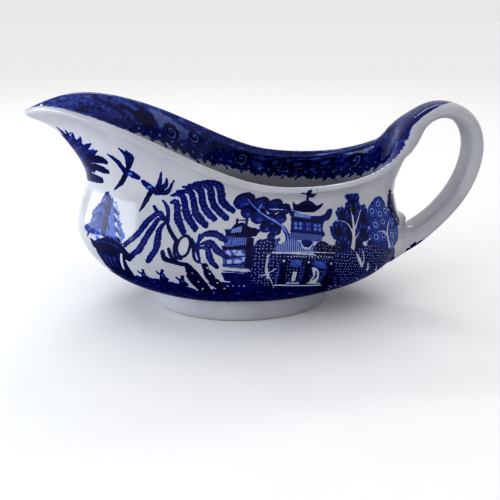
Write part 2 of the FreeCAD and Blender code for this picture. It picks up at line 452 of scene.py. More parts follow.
def build_bowl(sheet, to_strap):
    """The bowl, lifted towards the strap where they join, with the print on its points."""
    rows, columns = sheet.grid.shape[:2]
    flat = sheet.grid.reshape(-1, 3)
    near_joint = (flat[:, 0] > WALL_JOINT_X) & (np.abs(flat[:, 1]) < WALL_JOINT_HALF)
    fade = joint_fade(sheet.down_wall.reshape(-1))
    chosen = np.flatnonzero(near_joint & (fade > 0.0))
    normals = sheet.normals[chosen]
    lift = fillet_lift(flat[chosen], normals, to_strap, fillet_radius(flat[chosen, 2]), fade[chosen])
    points = flat.copy()
    points[chosen] += normals * lift[:, None]
    layers = {}
    for key, values in bowl_print(sheet).items():
        layers[key] = np.append(thinned(values, sheet.counts), (0.0, 0.0))
    mesh_parts = joined_grid(points.reshape(rows, columns, 3), sheet.counts)
    return make_piece("bowl_glazed", *mesh_parts, layers)


def build_handle(grid, sheet):
    """The strap, lifted towards the bowl where they join. It stands for the slip as well."""
    rows, across = grid.shape[:2]
    tree = grid_tree(sheet.grid[::2, ::4])
    depths = sheet.down_wall[::2, ::4]
    points = grid.reshape(-1, 3)
    normals = vertex_normals(points, rows, across)
    chosen = np.flatnonzero(points[:, 0] < STRAP_JOINT_X)
    radius = fillet_radius(points[chosen, 2])
    faces = np.array([tree.find_nearest(Vector(p))[2] for p in points[chosen]])
    fade = joint_fade(depths.reshape(-1)[np.minimum(faces, depths.size - 1)])
    lift = fillet_lift(points[chosen], normals[chosen], tree_distance(tree), radius, fade)
    points = points.copy()
    points[chosen] += normals[chosen] * lift[:, None]
    last = (rows - 1) * across
    points, ends = fans(points, ((np.arange(across), True), (np.arange(across) + last, False)))
    layers = {key: np.append(values.ravel(), (0.0, 0.0)) for key, values in strap_print(grid).items()}
    return make_piece("handle_glazed", points, grid_faces(rows, across), np.concatenate(ends), layers)


def foot_rings():
    """The ovals of the foot, up its inner side, under it and up its outer side."""
    ovals = []
    for out, z in FOOT_INSIDE[::-1] + FOOT_OUTSIDE:
        half_length, half_width = 0.5 * FOOT_LENGTH + out, 0.5 * FOOT_WIDTH + out
        ovals.append(oval((-half_length, z), (0.0, z), (half_length, z), half_width))
    return np.array(ovals)


def build_foot(columns=420, rows=64):
    """The foot ring, closed on top where the bowl covers it."""
    rings = foot_rings()
    knots = root_spacing(rings)
    around = np.linspace(0.0, STATIONS, columns, endpoint=False)
    grid = surface(rings, around, np.linspace(0.0, knots[-1], rows))
    points = grid.reshape(-1, 3)
    points[:, 2] = np.maximum(points[:, 2], 0.0)
    faces = grid_faces(rows, columns)
    closing = np.stack([np.arange(columns), np.roll(np.arange(columns), -1)], 1)
    top = closing + (rows - 1) * columns
    roof = np.concatenate([top, closing[:, ::-1]], 1)
    return make_piece("foot_glazed", points, np.concatenate([faces, roof]))


# ---------------------------------------------------------------- the print, laid out on flat sheets

DETAIL = 8.0                # canvas cells per millimetre
SHEET_LENGTH = 187.9        # half way round the belly, from the spout to the handle
OUTER_SHEET = (190.0, -2.0, 112.0)
INNER_SHEET = (190.0, -3.0, PRINT_DEPTH)
STRAP_SHEET = (240.0, -24.0, 24.0)
STAIN_REACH = 0.5           # how far the ink's blue stain spreads into the glaze
CAVITY_SHADE_START = 10.0           # how far below the lip the painted shade inside the bowl begins
CAVITY_SHADE_RUN = 16.0
DARK, DEEP, MIDDLE, PALE = 1.0, 0.85, 0.6, 0.3
WHITE = {"ink": 0.0, "tone": MIDDLE}


def smooth_noise(shape, cell, rng):
    """Soft noise between -1 and 1 whose bumps are about one cell of the given size across."""
    coarse = rng.uniform(-1.0, 1.0, (int(shape[0] / cell) + 3, int(shape[1] / cell) + 3))
    y, x = np.arange(shape[0]) / cell, np.arange(shape[1]) / cell
    yi, xi = y.astype(int), x.astype(int)
    fy, fx = (y - yi)[:, None], (x - xi)[None, :]
    fy, fx = fy * fy * (3 - 2 * fy), fx * fx * (3 - 2 * fx)
    top = coarse[yi][:, xi] * (1 - fx) + coarse[yi][:, xi + 1] * fx
    bottom = coarse[yi + 1][:, xi] * (1 - fx) + coarse[yi + 1][:, xi + 1] * fx
    return top * (1 - fy) + bottom * fy


def curve(points, closed=False, steps=7):
    """A smooth line through points."""
    p = np.array(points, float)
    ends = (p[-1:], p[:2]) if closed else (2 * p[:1] - p[1:2], 2 * p[-1:] - p[-2:-1])
    q = np.vstack([ends[0], p, ends[1]])
    t = np.linspace(0.0, 1.0, steps, endpoint=False)[:, None]
    pieces = []
    for a, b, c, d in zip(q, q[1:], q[2:], q[3:]):
        bend = 2 * b + (c - a) * t + (2 * a - 5 * b + 4 * c - d) * t ** 2 + (3 * b - a - 3 * c + d) * t ** 3
        pieces.append(0.5 * bend)
    if not closed:
        pieces.append(p[-1:])
    return np.vstack(pieces)


class Canvas:
    """A sheet of print: where ink lies, how dark it is, and where it is broken into dots or bars."""

    def __init__(self, width, low, high, seed):
        shape = (int((high - low) * DETAIL), int(width * DETAIL))
        self.low = low
        self.layers = {key: np.zeros(shape) for key in ("ink", "tone", "dots", "bars")}
        rng = np.random.default_rng(seed)
        broad, fine = smooth_noise(shape, 0.9 * DETAIL, rng), smooth_noise(shape, 0.35 * DETAIL, rng)
        self.rough = 0.6 * broad + 0.4 * fine
        self.rng = rng

    def window(self, points, margin):
        """The part of the sheet around some points, and its coordinates."""
        rows, columns = self.rough.shape
        low = ((points.min(0) - margin - (0.0, self.low)) * DETAIL).astype(int)
        high = ((points.max(0) + margin - (0.0, self.low)) * DETAIL).astype(int) + 2
        x0, x1 = np.clip((low[0], high[0]), 0, columns)
        y0, y1 = np.clip((low[1], high[1]), 0, rows)
        x, y = np.meshgrid(np.arange(x0, x1) / DETAIL, np.arange(y0, y1) / DETAIL + self.low)
        return (slice(y0, y1), slice(x0, x1)), x, y

    def lay(self, part, distance, tone=DEEP, ink=1.0, dots=0.0, bars=0.0, ragged=0.12):
        """Print over a part of the sheet, wherever the distance to the shape is below nought."""
        edge = distance + ragged * self.rough[part]
        amount = np.clip(0.5 - edge * DETAIL * 0.6, 0.0, 1.0)
        for key, value in (("ink", ink), ("tone", tone), ("dots", dots), ("bars", bars)):
            layer = self.layers[key][part]
            layer += (value - layer) * amount

    def line(self, points, width, **look):
        """A smooth stroke whose width may change along it."""
        points = curve(points)
        places, widths = np.linspace(0, 1, len(points)), np.atleast_1d(width)
        half = 0.5 * np.interp(places, np.linspace(0, 1, len(widths)), widths)
        part, x, y = self.window(points, half.max() + 0.5)
        distance = np.full(x.shape, 99.0)
        for (ax, ay), (bx, by), ra, rb in zip(points, points[1:], half, half[1:]):
            dx, dy = bx - ax, by - ay
            f = np.clip(((x - ax) * dx + (y - ay) * dy) / max(dx * dx + dy * dy, 1e-9), 0.0, 1.0)
            gap = np.hypot(x - ax - f * dx, y - ay - f * dy) - ra - f * (rb - ra)
            np.minimum(distance, gap, out=distance)
        self.lay(part, distance, **look)

    def lines(self, *strokes, **look):
        """Several strokes of one look, each given as its points and its width."""
        for points, width in strokes:
            self.line(points, width, **look)

    def patch(self, points, sharp=False, **look):
        """A filled shape with a smooth or a straight-sided outline."""
        points = np.array(points, float) if sharp else curve(points, closed=True, steps=5)
        part, x, y = self.window(points, 1.0)
        distance = np.full(x.shape, 99.0)
        inside = np.zeros(x.shape, bool)
        for (ax, ay), (bx, by) in zip(points, np.roll(points, -1, 0)):
            dx, dy = bx - ax, by - ay
            f = np.clip(((x - ax) * dx + (y - ay) * dy) / max(dx * dx + dy * dy, 1e-9), 0.0, 1.0)
            np.minimum(distance, np.hypot(x - ax - f * dx, y - ay - f * dy), out=distance)
            if ay != by:
                inside ^= ((ay > y) != (by > y)) & (x < ax + (y - ay) * dx / dy)
        self.lay(part, np.where(inside, -distance, distance), **look)

    def disc(self, x, y, across, tall=None, **look):
        """A filled oval."""
        tall = tall or across
        part, gx, gy = self.window(np.array([(x - across, y - tall), (x + across, y + tall)]), 1.0)
        self.lay(part, (np.hypot((gx - x) / across, (gy - y) / tall) - 1.0) * min(across, tall), **look)

    def ring(self, x, y, across, tall, width, **look):
        """The outline of an oval."""
        turn = np.linspace(0.0, 2.0 * np.pi, 13)
        self.line(np.stack([x + across * np.cos(turn), y + tall * np.sin(turn)], 1), width, **look)

    def block(self, x0, y0, x1, y1, **look):
        """A filled rectangle between two corners."""
        self.patch(((x0, y0), (x1, y0), (x1, y1), (x0, y1)), sharp=True, **look)

    def sample(self, key, x, y):
        """The value of a layer at places on the sheet."""
        layer = self.layers[key]
        gx = np.clip(x * DETAIL, 0, layer.shape[1] - 1.001)
        gy = np.clip((y - self.low) * DETAIL, 0, layer.shape[0] - 1.001)
        xi, yi = gx.astype(int), gy.astype(int)
        fx, fy = gx - xi, gy - yi
        below = layer[yi, xi] * (1 - fx) + layer[yi, xi + 1] * fx
        above = layer[yi + 1, xi] * (1 - fx) + layer[yi + 1, xi + 1] * fx
        return below * (1 - fy) + above * fy


def draw_sprig(c):
    """The spray of leaves under the spout."""
    c.patch(((-3, 70), (10, 71), (18, 72.6), (22.6, 76), (24.6, 80.4), (22.6, 85.4), (19, 88.6), (14.6, 90.4),
             (10, 92), (-3, 92.6)), ragged=0.5)
    for x, y in ((9.8, 96.6), (13.8, 94.6), (17.4, 93), (21.4, 90.8), (25.8, 87.4), (28.4, 84)):
        c.line(((7, 82), (0.5 * x + 5, 0.5 * y + 41), (x, y)), (4.2, 5.2, 0.9), ragged=0.4)
    for x, y in ((13.4, 93.4), (20.4, 90), (26.2, 85.2)):
        c.line(((0.5 * x + 4, 0.5 * y + 40.4), (x, y)), (0.15, 0.45, 0.2), tone=MIDDLE, ragged=0.2)
    c.lines((((17, 80.2), (25, 80.4), (29, 80), (31.4, 78.8)), (4.0, 3.8, 3.4, 2.0)),
            (((17, 77), (24, 76.8), (28, 75.6), (30.8, 74.4)), (4.0, 3.4, 3.2, 2.0)),
            (((8, 73), (16, 72), (21, 71.6), (25, 70.8)), (5.0, 3.8, 3.8, 2.6)), tone=DARK)
    c.lines((((20, 78.7), (25, 78.5), (30, 77.4)), (0.2, 0.5, 0.7)),
            (((17, 74.4), (21, 74), (27, 73)), (0.2, 0.4, 0.8)), **WHITE)
    for i in range(9):
        y = 73.5 + 2.4 * i
        c.line(((4, y - 2.4), (12 + i % 3, y), (17 + i % 3, y + 0.8)), (0.2, 0.6, 0.2), ragged=0.3,
               tone=0.45 if i % 2 else DARK)


def draw_bird(c, body, tail, wings, shine):
    """A bird in flight: a tail, long feathered wings, a short thick body and a pale spot on it."""
    c.line(tail, (2.5, 2.4, 0.9), tone=DARK, ragged=0.2)
    for wing in wings:
        c.line(wing, (2.4, 2.2, 0.7), tone=DARK, ragged=0.2)
        c.line(wing, (0.2, 0.5, 0.1), tone=MIDDLE, ragged=0.2)
    c.line(body, (2.1, 3.0, 2.5), ragged=0.15)
    c.disc(*shine, 1.2, 0.7, tone=PALE)


def draw_birds(c):
    """Two birds in flight between the spout and the willow."""
    draw_bird(c, ((46.6, 70.6), (44.2, 72.2), (41.3, 73.6)), ((41, 73), (37.4, 69.4), (32.6, 66.7)),
              (((40.6, 73.6), (37.6, 78.6), (33.4, 82.2)), ((42, 74.8), (44.8, 79.2), (42.8, 82.8)),
               ((42.6, 76), (42.6, 80.2), (39.8, 84.2))), (42.9, 72.7))
    draw_bird(c, ((48.6, 68.6), (51, 66.2), (54, 63.8)), ((51.6, 64), (48.8, 60.4), (46.4, 56.2)),
              (((54.6, 64.4), (56.2, 67.4), (57.2, 71.8)), ((55.8, 64.6), (58.8, 66), (59.4, 69.2)),
               ((54, 63.4), (59.4, 63.2), (62.4, 67.6))), (51.4, 66.1))


def draw_fir(c):
    """A tall fir of two shades, with jagged branches down its sides. Its pale blues are partly painted
    reflection, the window's glare on the glaze.
    """
    # Painted reflection: both patches are lighter than the rest of the print, the right one most, for the
    # window's glare over the fir.
    c.patch(((27.4, 65.8), (30.6, 63.4), (33, 60), (31.5, 54), (31, 47), (26, 46.2), (20, 47.2), (18.2, 50),
             (21.6, 52), (21.4, 57), (24.4, 61.6)), tone=0.7, ragged=0.9)
    c.patch(((32.4, 61.4), (36, 57.4), (39.4, 50.6), (42.8, 45), (40, 43), (33, 43.8), (31, 47), (31.5, 54)),
            tone=0.5, ragged=0.9)
    c.line(((27.6, 64.6), (29.4, 60), (30.8, 54), (31.6, 46.5)), (1.4, 3.4, 3.0, 2.0), tone=DARK, ragged=0.5)
    for i in range(26):
        x, y = c.rng.uniform(21, 41), c.rng.uniform(45, 62)
        if abs(x - 30.0) < 0.62 * (66.0 - y):
            c.line(((x, y), (x + 1.2, y - 2.2)), (0.9, 0.3), tone=(DARK, PALE, 0.5)[i % 3], ragged=0.5)
    for i in range(8):
        y = 62.5 - 2.2 * i
        c.line(((27 - 0.7 * i, y), (24 - 0.6 * i, y - 2.4)), (1.1, 0.5), ragged=0.4,
               tone=DARK if i % 2 else 0.45)
        c.line(((33 + 0.9 * i, y - 2.5), (35.6 + 0.9 * i, y - 5.6)), (1.0, 0.6), ragged=0.5,
               **({"tone": DARK} if i % 2 else {"ink": 0.3, "tone": 0.2}))


def draw_gatehouse(c):
    """The dark house on the near shore, with a long sagging roof and a pale doorway."""
    c.patch(((26, 40), (40, 37), (41.5, 31), (40, 24), (30, 24), (24, 28), (24.6, 34)), tone=DARK, ragged=0.3)
    c.patch(((22.3, 44.6), (25.4, 43.4), (30.2, 44.6), (33.4, 45.6), (38, 43.8), (42, 41.4), (44, 38.4),
             (47.6, 35.6), (44, 33.4), (41, 34.8), (33, 37), (26, 39.2), (23.4, 40.2)),
            sharp=True, tone=DARK, ragged=0.3)
    c.line(((25.2, 43), (31, 43), (38, 41.2), (43, 37.6)), (0.2, 0.5, 0.5, 0.2), tone=MIDDLE, ragged=0.3)
    c.line(((40.6, 37.2), (39, 33.4), (37.4, 29.4)), (1.2, 1.6, 1.2), **WHITE)
    for x in (29.0, 32.4, 35.4):
        c.line(((x, 36), (x - 0.8, 33), (x - 1.4, 30)), (0.3, 0.7, 0.3), tone=0.4, ragged=0.4)
    c.line(((26.4, 37.4), (33, 35.4), (38.6, 34.4)), 0.4, tone=0.45)


WILLOW_BIG = (
    ((59.4, 50.8), (55.6, 54.4), (51.4, 51.4), (48.6, 46), (43.4, 41.6)),
    ((59.4, 51.2), (56.0, 51.6), (53.2, 45.4), (50.6, 39.6), (46.6, 36.8)),
    ((59.8, 51.4), (57.6, 46.6), (57.8, 39), (53.4, 33.4)),
    ((60.4, 58.4), (63.0, 58.0), (64, 52), (68.2, 44.8)),
    ((61, 61.4), (65.8, 61.0), (67.6, 53), (73.0, 45.8)),
    ((63.6, 63), (69.6, 61.6), (71.6, 53), (77.0, 47.0)),
    ((66.4, 64.6), (73.2, 62.8), (75.4, 54.4), (80.2, 49.4)),
    ((68.6, 65.4), (76.6, 63.6), (79.6, 55), (85.2, 49.4)),
    ((70.6, 66), (79.6, 64.6), (83.2, 56.6), (87.6, 52.4)),
)
WILLOW_SMALL = (
    ((75, 39.8), (77, 43.2), (81.4, 43.2), (86.4, 40.2)),
    ((75.4, 38.8), (80, 39.8), (83.6, 36), (87.6, 33)),
    ((75.4, 38), (79.4, 37), (80.8, 32.4), (83.4, 28.8)),
)


def draw_willow(c, fronds, width):
    """Drooping fronds with saw-toothed edges and a pale dotted midrib."""
    for frond in fronds:
        c.line(frond, (width * 0.3, width * 0.8, width, width, width * 0.75), tone=0.84, ragged=0.36)
        rib = curve(frond, steps=9)
        for x, y in rib[6:-2:2]:
            c.disc(x - 0.1, y - 0.1, 0.26, tone=PALE, ragged=0.0)


def draw_willow_wood(c):
    """The willow's trunk, with the loop of branches in front of it."""
    c.lines((((56.8, 59.6), (59, 56), (60.4, 50)), (0.9, 1.9, 1.6)),
            (((52.8, 57.6), (54.2, 55.6), (58.6, 51)), (1.3, 1.5, 1.0)))
    c.line(((59.6, 50.8), (62, 46.6), (66, 41.4)), (1.0, 1.5, 1.6), tone=DARK)
    c.ring(69.3, 38.9, 2.7, 4.5, 1.2, tone=DARK)
    c.lines((((65.8, 41.8), (65.4, 38), (66.4, 34.6), (68.6, 33.4)), (1.3, 1.2, 1.2, 1.2)),
            (((71.6, 41), (73.4, 38), (74.2, 33.4), (75.6, 31.4)), (1.0, 1.5, 1.2, 1.0)), tone=DARK)
    c.line(((60.6, 37.4), (61.6, 34), (67, 31.6), (71.4, 30), (75, 24), (77.4, 17), (77.6, 13.6)),
           (1.8, 2.4, 2.0, 2.0, 2.4, 2.8, 3.6), tone=DARK, ragged=0.3)
    c.line(((63.2, 38.2), (64.6, 34.6), (67.4, 32)), (1.5, 1.5, 1.0), tone=DARK)
    c.lines((((72.2, 41.8), (74.2, 38.4), (76.4, 33)), (0.9, 1.4, 1.0)),
            (((75, 43.4), (75.2, 39), (76.6, 31)), (0.9, 1.2, 0.9)))


def draw_shore_trees(c):
    """Dark foliage hanging beside pale trunks."""
    for points in (((71, 29.4), (73, 25), (74.6, 19.6), (76, 14.6)), ((70.4, 24), (72, 20), (73, 16.4)),
                   ((78, 29.6), (79.6, 24.6), (82, 19), (85.6, 14.6)), ((81, 22), (84, 17.6), (88, 14))):
        c.line(points, (3.2, 4.4, 4.0, 2.6), tone=DARK, ragged=0.9)
    c.line(((75.8, 33), (76.8, 28), (76.8, 21), (79, 14)), (0.8, 1.2, 1.2, 1.8), ragged=0.2, **WHITE)
    c.line(((68.6, 25), (69.4, 21), (71.6, 16.4)), (1.2, 1.6, 1.2), **WHITE)
    for x, y in ((72.6, 26.4), (80, 25.6), (82.6, 20.4), (74, 21.4), (85.4, 16.8), (74.8, 17.2),
                 (79.4, 28.6)):
        c.disc(x, y, 0.5, ragged=0.2, **WHITE)


def draw_figure(c, x, y):
    """A small person carrying something, as a plain silhouette."""
    c.line(((x - 0.6, y - 2.8), (x, y - 0.4), (x + 0.7, y + 1.0)), (3.6, 2.8, 1.6), tone=DARK, ragged=0.5)
    c.line(((x + 1.4, y - 2.4), (x + 0.8, y - 0.2)), (2.0, 1.2), ragged=0.4)
    c.disc(x + 1.2, y + 2.3, 0.85, tone=DARK)
    c.line(((x + 0.6, y + 0.6), (x - 1.2, y + 0.9), (x - 1.9, y + 2.0)), (1.5, 1.2, 1.0))
    c.disc(x + 0.1, y - 0.4, 0.4, 0.8, tone=PALE)


def draw_ground(c):
    """The dark shore along the bottom of the print, with short strokes where it is inked."""
    c.patch(((-3, 20), (8, 23), (20, 26), (30, 27), (38, 26.4), (45, 25.4), (55, 23.6), (65, 20), (74, 16),
             (84, 18), (97, 24), (110, 20), (132, 20), (150, 24), (166, 22), (193, 26), (193, 5.5), (150, 5),
             (120, 4), (95, 5), (70, 4.6), (40, 5.4), (12, 5), (-3, 5)), tone=0.88, ragged=0.8)
    for i in range(230):
        x, y = c.rng.uniform(0, 188), c.rng.uniform(6, 22)
        run, slope = c.rng.uniform(1.5, 6.0), c.rng.uniform(-0.25, 0.1)
        look = {"tone": (0.5, DARK, DARK, 0.66)[i % 4]} if i % 9 else {"ink": 0.5, "tone": 0.1}
        part = ((x, y), (x + 0.5 * run, y + 0.5 * slope * run + 0.3), (x + run, y + slope * run))
        if c.sample("ink", np.array([x + 0.5 * run]), np.array([y + 1.0]))[0] > 0.5:
            c.line(part, (0.2, 0.7 if i % 9 else 0.4, 0.2), ragged=0.25, **look)


def draw_river(c):
    """A small boat on the pale river under the spout."""
    c.line(((-3, 40.8), (3, 41), (7, 42.6)), (1.8, 1.7, 0.5))
    c.line(((0, 41.8), (0, 48)), 0.5)
    c.patch(((-3, 42), (-2.6, 46), (2.6, 45.6), (4, 42.6)), tone=MIDDLE, bars=1.0)
    for i in range(8):
        y = 29 + 1.4 * i
        c.line(((i % 3 - 1, y), (3 + i % 3 * 2, y + 0.3), (6 + i % 2 * 3, y)), (0.1, 0.4, 0.1), tone=MIDDLE)


def draw_dotted_bush(c, x, y, across, tall, lobes):
    """A lobed mass of leaves shown as white dots on blue."""
    for i in range(lobes):
        turn = 2.0 * np.pi * i / lobes
        c.disc(x + 0.62 * across * np.cos(turn), y + 0.66 * tall * np.sin(turn), 0.42 * across, 0.38 * tall,
               tone=0.86, dots=1.0, ragged=0.6)
    c.disc(x, y, 0.8 * across, 0.8 * tall, tone=0.86, dots=1.0, ragged=0.5)


def draw_small_pagoda(c):
    """A narrow house of three storeys on a rock."""
    c.block(86, 27.6, 97, 45, tone=0.66, bars=0.5)
    c.block(95, 28, 98, 41, tone=DARK)
    c.block(86.4, 36.8, 95, 41, tone=MIDDLE, bars=0.8)
    for x, y, across, tall in ((88, 34.6, 1.2, 1.9), (90.4, 35.6, 0.9, 1.2), (92.6, 34.6, 1.3, 1.8),
                               (88.6, 30.9, 1.5, 1.2), (92, 31, 1.6, 1.1), (94.4, 32.6, 0.7, 1.6)):
        c.disc(x, y, across, tall, tone=0.0, ink=0.45, ragged=0.7)
    for y in (29.6, 33.0, 36.6):
        c.line(((85.8, y), (97, y + 0.3)), 0.5, tone=DARK)
    c.patch(((84.8, 45.2), (87.6, 44.2), (88.8, 46.6), (92.4, 47.4), (95.4, 45.6), (100.4, 44.2),
             (98.6, 41.4), (94, 41.2), (86.6, 42)), sharp=True, tone=DARK, ragged=0.25)
    c.patch(((88.4, 45), (92.4, 46), (92.4, 43.4), (87.6, 43.2)), sharp=True, tone=0.35, bars=0.9)
    c.lines((((89.8, 46), (89.9, 48.8)), 1.0), (((94, 46), (94.2, 48.6)), 1.0),
            (((89.4, 48.4), (94.6, 48.2)), 0.5), tone=DARK)
    for x in (87.4, 90.0, 92.6):
        c.block(x - 0.8, 38.2, x + 0.8, 40.4, tone=PALE, ragged=0.2)
    c.patch(((84.6, 38.2), (88, 37.4), (94, 38), (98, 36.8), (97, 35.2), (93.6, 36.2), (86, 36.2)),
            sharp=True, tone=DARK)
    c.patch(((85, 26), (97.4, 25), (98, 21), (86, 21.4)), sharp=True, ragged=0.3)
    c.patch(((83.6, 20.4), (90, 21.4), (98, 21), (100, 17), (96, 14), (86, 14.6)), tone=0.82, ragged=0.5)
    c.line(((84.4, 21.3), (88.6, 20.7)), (0.9, 0.4), **WHITE)
    for x in (87, 89.6, 92.4, 94.6):
        c.disc(x, 18 + 0.3 * (x % 2), 0.45, ragged=0.2, **WHITE)
    c.line(((85.6, 28.2), (96.8, 26.6)), 1.1, ragged=0.05, **WHITE)
    c.line(((85.8, 26.8), (96.8, 25.4)), 0.5, tone=DARK)


def draw_ball_tree(c):
    """A tree of round leaf masses with a pale branch running through them, and a thin white streak that is a
    painted highlight.
    """
    for x, y, r in ((91.8, 56.4, 4.3), (98.8, 55, 3.7), (105, 54.2, 3.7), (109.8, 53.4, 2.6),
                    (94.2, 51.8, 3.2), (99, 49.8, 3.7), (104.6, 47.8, 3.6), (108.8, 49.4, 2.6),
                    (102.4, 45.4, 2.6), (106.8, 44.4, 2.6), (105.2, 41.8, 1.7)):
        c.disc(x, y, r, 0.9 * r, tone=DARK, ragged=0.25)
        c.disc(x - 0.1 * r, y - 0.14 * r, 0.74 * r, 0.64 * r, tone=0.78, ragged=0.5)
        c.disc(x + 0.2 * r, y - 0.4 * r, 0.42 * r, 0.24 * r, tone=0.55, ragged=0.4)
    branch = ((93, 57.4), (96.4, 54), (99.4, 51.6), (103, 49.4), (107, 47.6), (110.4, 45), (112.4, 41.6),
              (111.6, 38.4), (108.8, 37.6), (107.2, 39.2), (108.6, 40.6))
    c.line(branch[4:], (1.0, 2.0, 2.0, 1.8, 1.2), ragged=0.2)
    c.line(branch, (0.3, 0.5, 0.7, 0.8, 0.6, 0.6, 0.5, 0.3), tone=0.1, ink=0.5)
    c.line(((98.6, 51.8), (99.4, 55)), (0.5, 0.3), tone=0.0, ink=0.5)
    # Painted highlight: this thin white streak is a lamp's reflection on the glaze, drawn into the print.
    c.line(((103.4, 52.9), (110.4, 52.8)), 0.4, **WHITE)


def draw_temple_walls(c):
    """The upper storey with its windows."""
    c.patch(((113.4, 50.2), (129, 50.4), (128, 46.4), (129, 43.6), (125.4, 40.8), (113.4, 40.4)),
            sharp=True, tone=0.74)
    for x, w, h in ((116.8, 1.7, 1.5), (121.6, 0.7, 1.7), (125.6, 1.6, 1.4), (119.4, 0.4, 1.6)):
        y = 46.6
        c.block(x - w, y - h, x + w, y + h, tone=0.2, ink=0.8)
        c.line(((x, y - h), (x, y + h)), 0.45, tone=DARK)
        c.line(((x - w, y), (x + w, y)), 0.35, tone=DARK)
    c.lines((((113.6, 44.2), (120, 44), (128.6, 44.4)), 0.6),
            (((113.6, 49.2), (120, 48.8), (128.8, 49.4)), 0.8), tone=DARK)
    c.block(113.6, 40.6, 127.6, 43.6, tone=MIDDLE, bars=0.6)


def draw_temple_roofs(c):
    """Two curved roofs with a finial above, and the long roof over the columns."""
    c.line(((119, 57), (118, 59.6), (116.6, 62), (115.8, 63.8)), (1.0, 1.2, 1.2, 2.2), tone=DARK)
    c.line(((113.2, 62.8), (114.8, 61.2), (117.2, 60.8), (119.6, 59.8), (121.4, 60.6)),
           (1.2, 1.9, 1.2, 1.9, 1.0), tone=DARK, ragged=0.4)
    c.ring(111.2, 53, 1.3, 1.7, 0.55, tone=DARK)
    c.patch(((112.3, 56.8), (114.6, 55.4), (117.6, 57.4), (121, 57.4), (124.6, 55.8), (127.3, 57.4),
             (126.6, 54.8), (123, 52.6), (115, 52.4), (113.6, 54)), tone=DARK, ragged=0.15)
    c.patch(((112.6, 53.6), (116, 52), (123, 51.2), (128.6, 52.2), (130.8, 54.8), (133, 55), (132.4, 52),
             (129.8, 49.8), (122, 49.4), (113.6, 50)), ragged=0.15)
    c.patch(((114.6, 52), (122.6, 51.2), (122.6, 49.9), (114.6, 50.2)), sharp=True, tone=0.35, bars=1.0)
    c.line(((113, 52.8), (119, 52.2), (128, 52.9)), 0.3, **WHITE)
    c.patch(((107, 37.2), (113.4, 41), (124.6, 38.6), (124.6, 35.4), (108, 34.4)),
            sharp=True, tone=0.5, bars=1.0)
    c.patch(((124.4, 39), (128, 41.2), (132, 39.6), (136.6, 41), (134.8, 37.4), (131.6, 34.6), (124.4, 35)),
            tone=DARK, dots=0.7)
    c.disc(120.8, 39.2, 3.0, 2.0, tone=0.8)
    c.line(((118.2, 39.8), (119.2, 37.8), (121.8, 37.6), (123.4, 39.4)), (0.5, 0.8, 0.8, 0.5), **WHITE)


def draw_temple_porch(c):
    """The ground floor: three dark columns, arches and doors between them, and steps, under a pale cornice
    line that is partly a painted highlight.
    """
    c.block(109.5, 19, 134, 34.6, tone=0.9, dots=0.8)
    # Partly the porch's pale cornice and partly a painted highlight: a lamp's reflection on the glaze.
    c.line(((106.4, 34.9), (112, 35), (124, 36), (133.6, 36.4)), (1.0, 0.6, 0.5, 0.4), **WHITE)
    for i in range(16):
        c.block(112.6 + 1.3 * i, 33.2 + 0.06 * i, 113.2 + 1.3 * i, 33.8 + 0.06 * i, **WHITE)
    for x in (111.2, 122.0, 132.4):
        c.patch(((x - 1.5, 32.6), (x + 1.5, 32.6), (x + 1.5, 24), (x + 2.2, 18.6), (x - 2.2, 18.6),
                 (x - 1.5, 24)), sharp=True, tone=DARK, ragged=0.1)
        c.disc(x, 31.4, 0.6, ragged=0.1, **WHITE)
        c.line(((x - 2.1, 30), (x - 1.9, 25), (x - 2.6, 19)), (0.3, 0.5, 0.3), tone=PALE)
    for x0, x1 in ((114.2, 118.6), (124.4, 129.6)):
        c.patch(((x0, 32), (x1, 31.6), (x1 - 0.6, 28.6), (x0 + 0.8, 29.4)), tone=0.45, ragged=0.7)
    c.block(115.6, 21, 117.5, 26.4, **WHITE)
    c.patch(((123.8, 28.4), (125.2, 29), (127.8, 26.4), (128.4, 20.8), (124.8, 20.8), (125.4, 24.6)), **WHITE)
    c.line(((126.2, 27), (126.8, 24), (125.8, 22)), (0.5, 0.9, 0.4))
    c.lines((((108.6, 18.6), (120, 18.5), (132, 18.9)), 0.9), (((114, 20), (119.6, 20)), 0.8),
            (((124, 20.2), (130.6, 20.2)), 0.8), ragged=0.05, **WHITE)


def draw_feather_tree(c):
    """A tree of dark plumes rayed with pale veins, with a pale trunk between them."""
    c.patch(((136, 49), (139, 56), (146, 54), (149, 47), (146, 40), (136, 38), (134, 43)),
            tone=DARK, ragged=0.6)
    for x, y, across, tall in ((143.4, 57.2, 4.3, 6.0), (138.2, 53.4, 3.2, 3.4), (136, 46, 4.4, 4.2),
                               (149.8, 53.4, 3.4, 5.6), (148.4, 46.4, 3.8, 4.0), (139.6, 61.4, 2.4, 1.4),
                               (137.6, 40.4, 3.8, 3.6)):
        c.disc(x, y, across, tall, tone=0.72, ragged=0.9)
        for i in range(9):
            lean = (i - 4) * 0.34
            tip = (x + across * 0.98 * np.sin(lean), y + tall * 0.94 * np.cos(lean))
            c.line(((x, y - 0.6 * tall), tip), (0.2, 0.55), tone=0.45 if i % 2 else DARK, ragged=0.3)
        c.disc(x, y - 0.15 * tall, 0.5 * across, 0.62 * tall, tone=DARK, ragged=1.2)
    c.line(((143.8, 53.4), (143.4, 46), (142.4, 39.6)), (0.9, 1.4, 2.1), ragged=0.2, **WHITE)
    c.lines((((137.2, 50.8), (140.8, 49.6), (143.2, 45.4)), (0.3, 0.6, 0.9)),
            (((148.6, 56.6), (146, 51.6), (143.6, 47)), (0.3, 0.6, 0.9)),
            (((142.4, 58.6), (143.4, 54), (143.8, 50)), (0.2, 0.5, 0.8)),
            (((146.8, 47.4), (144.6, 44.6), (143, 42.6)), (0.2, 0.5, 0.7)), **WHITE)


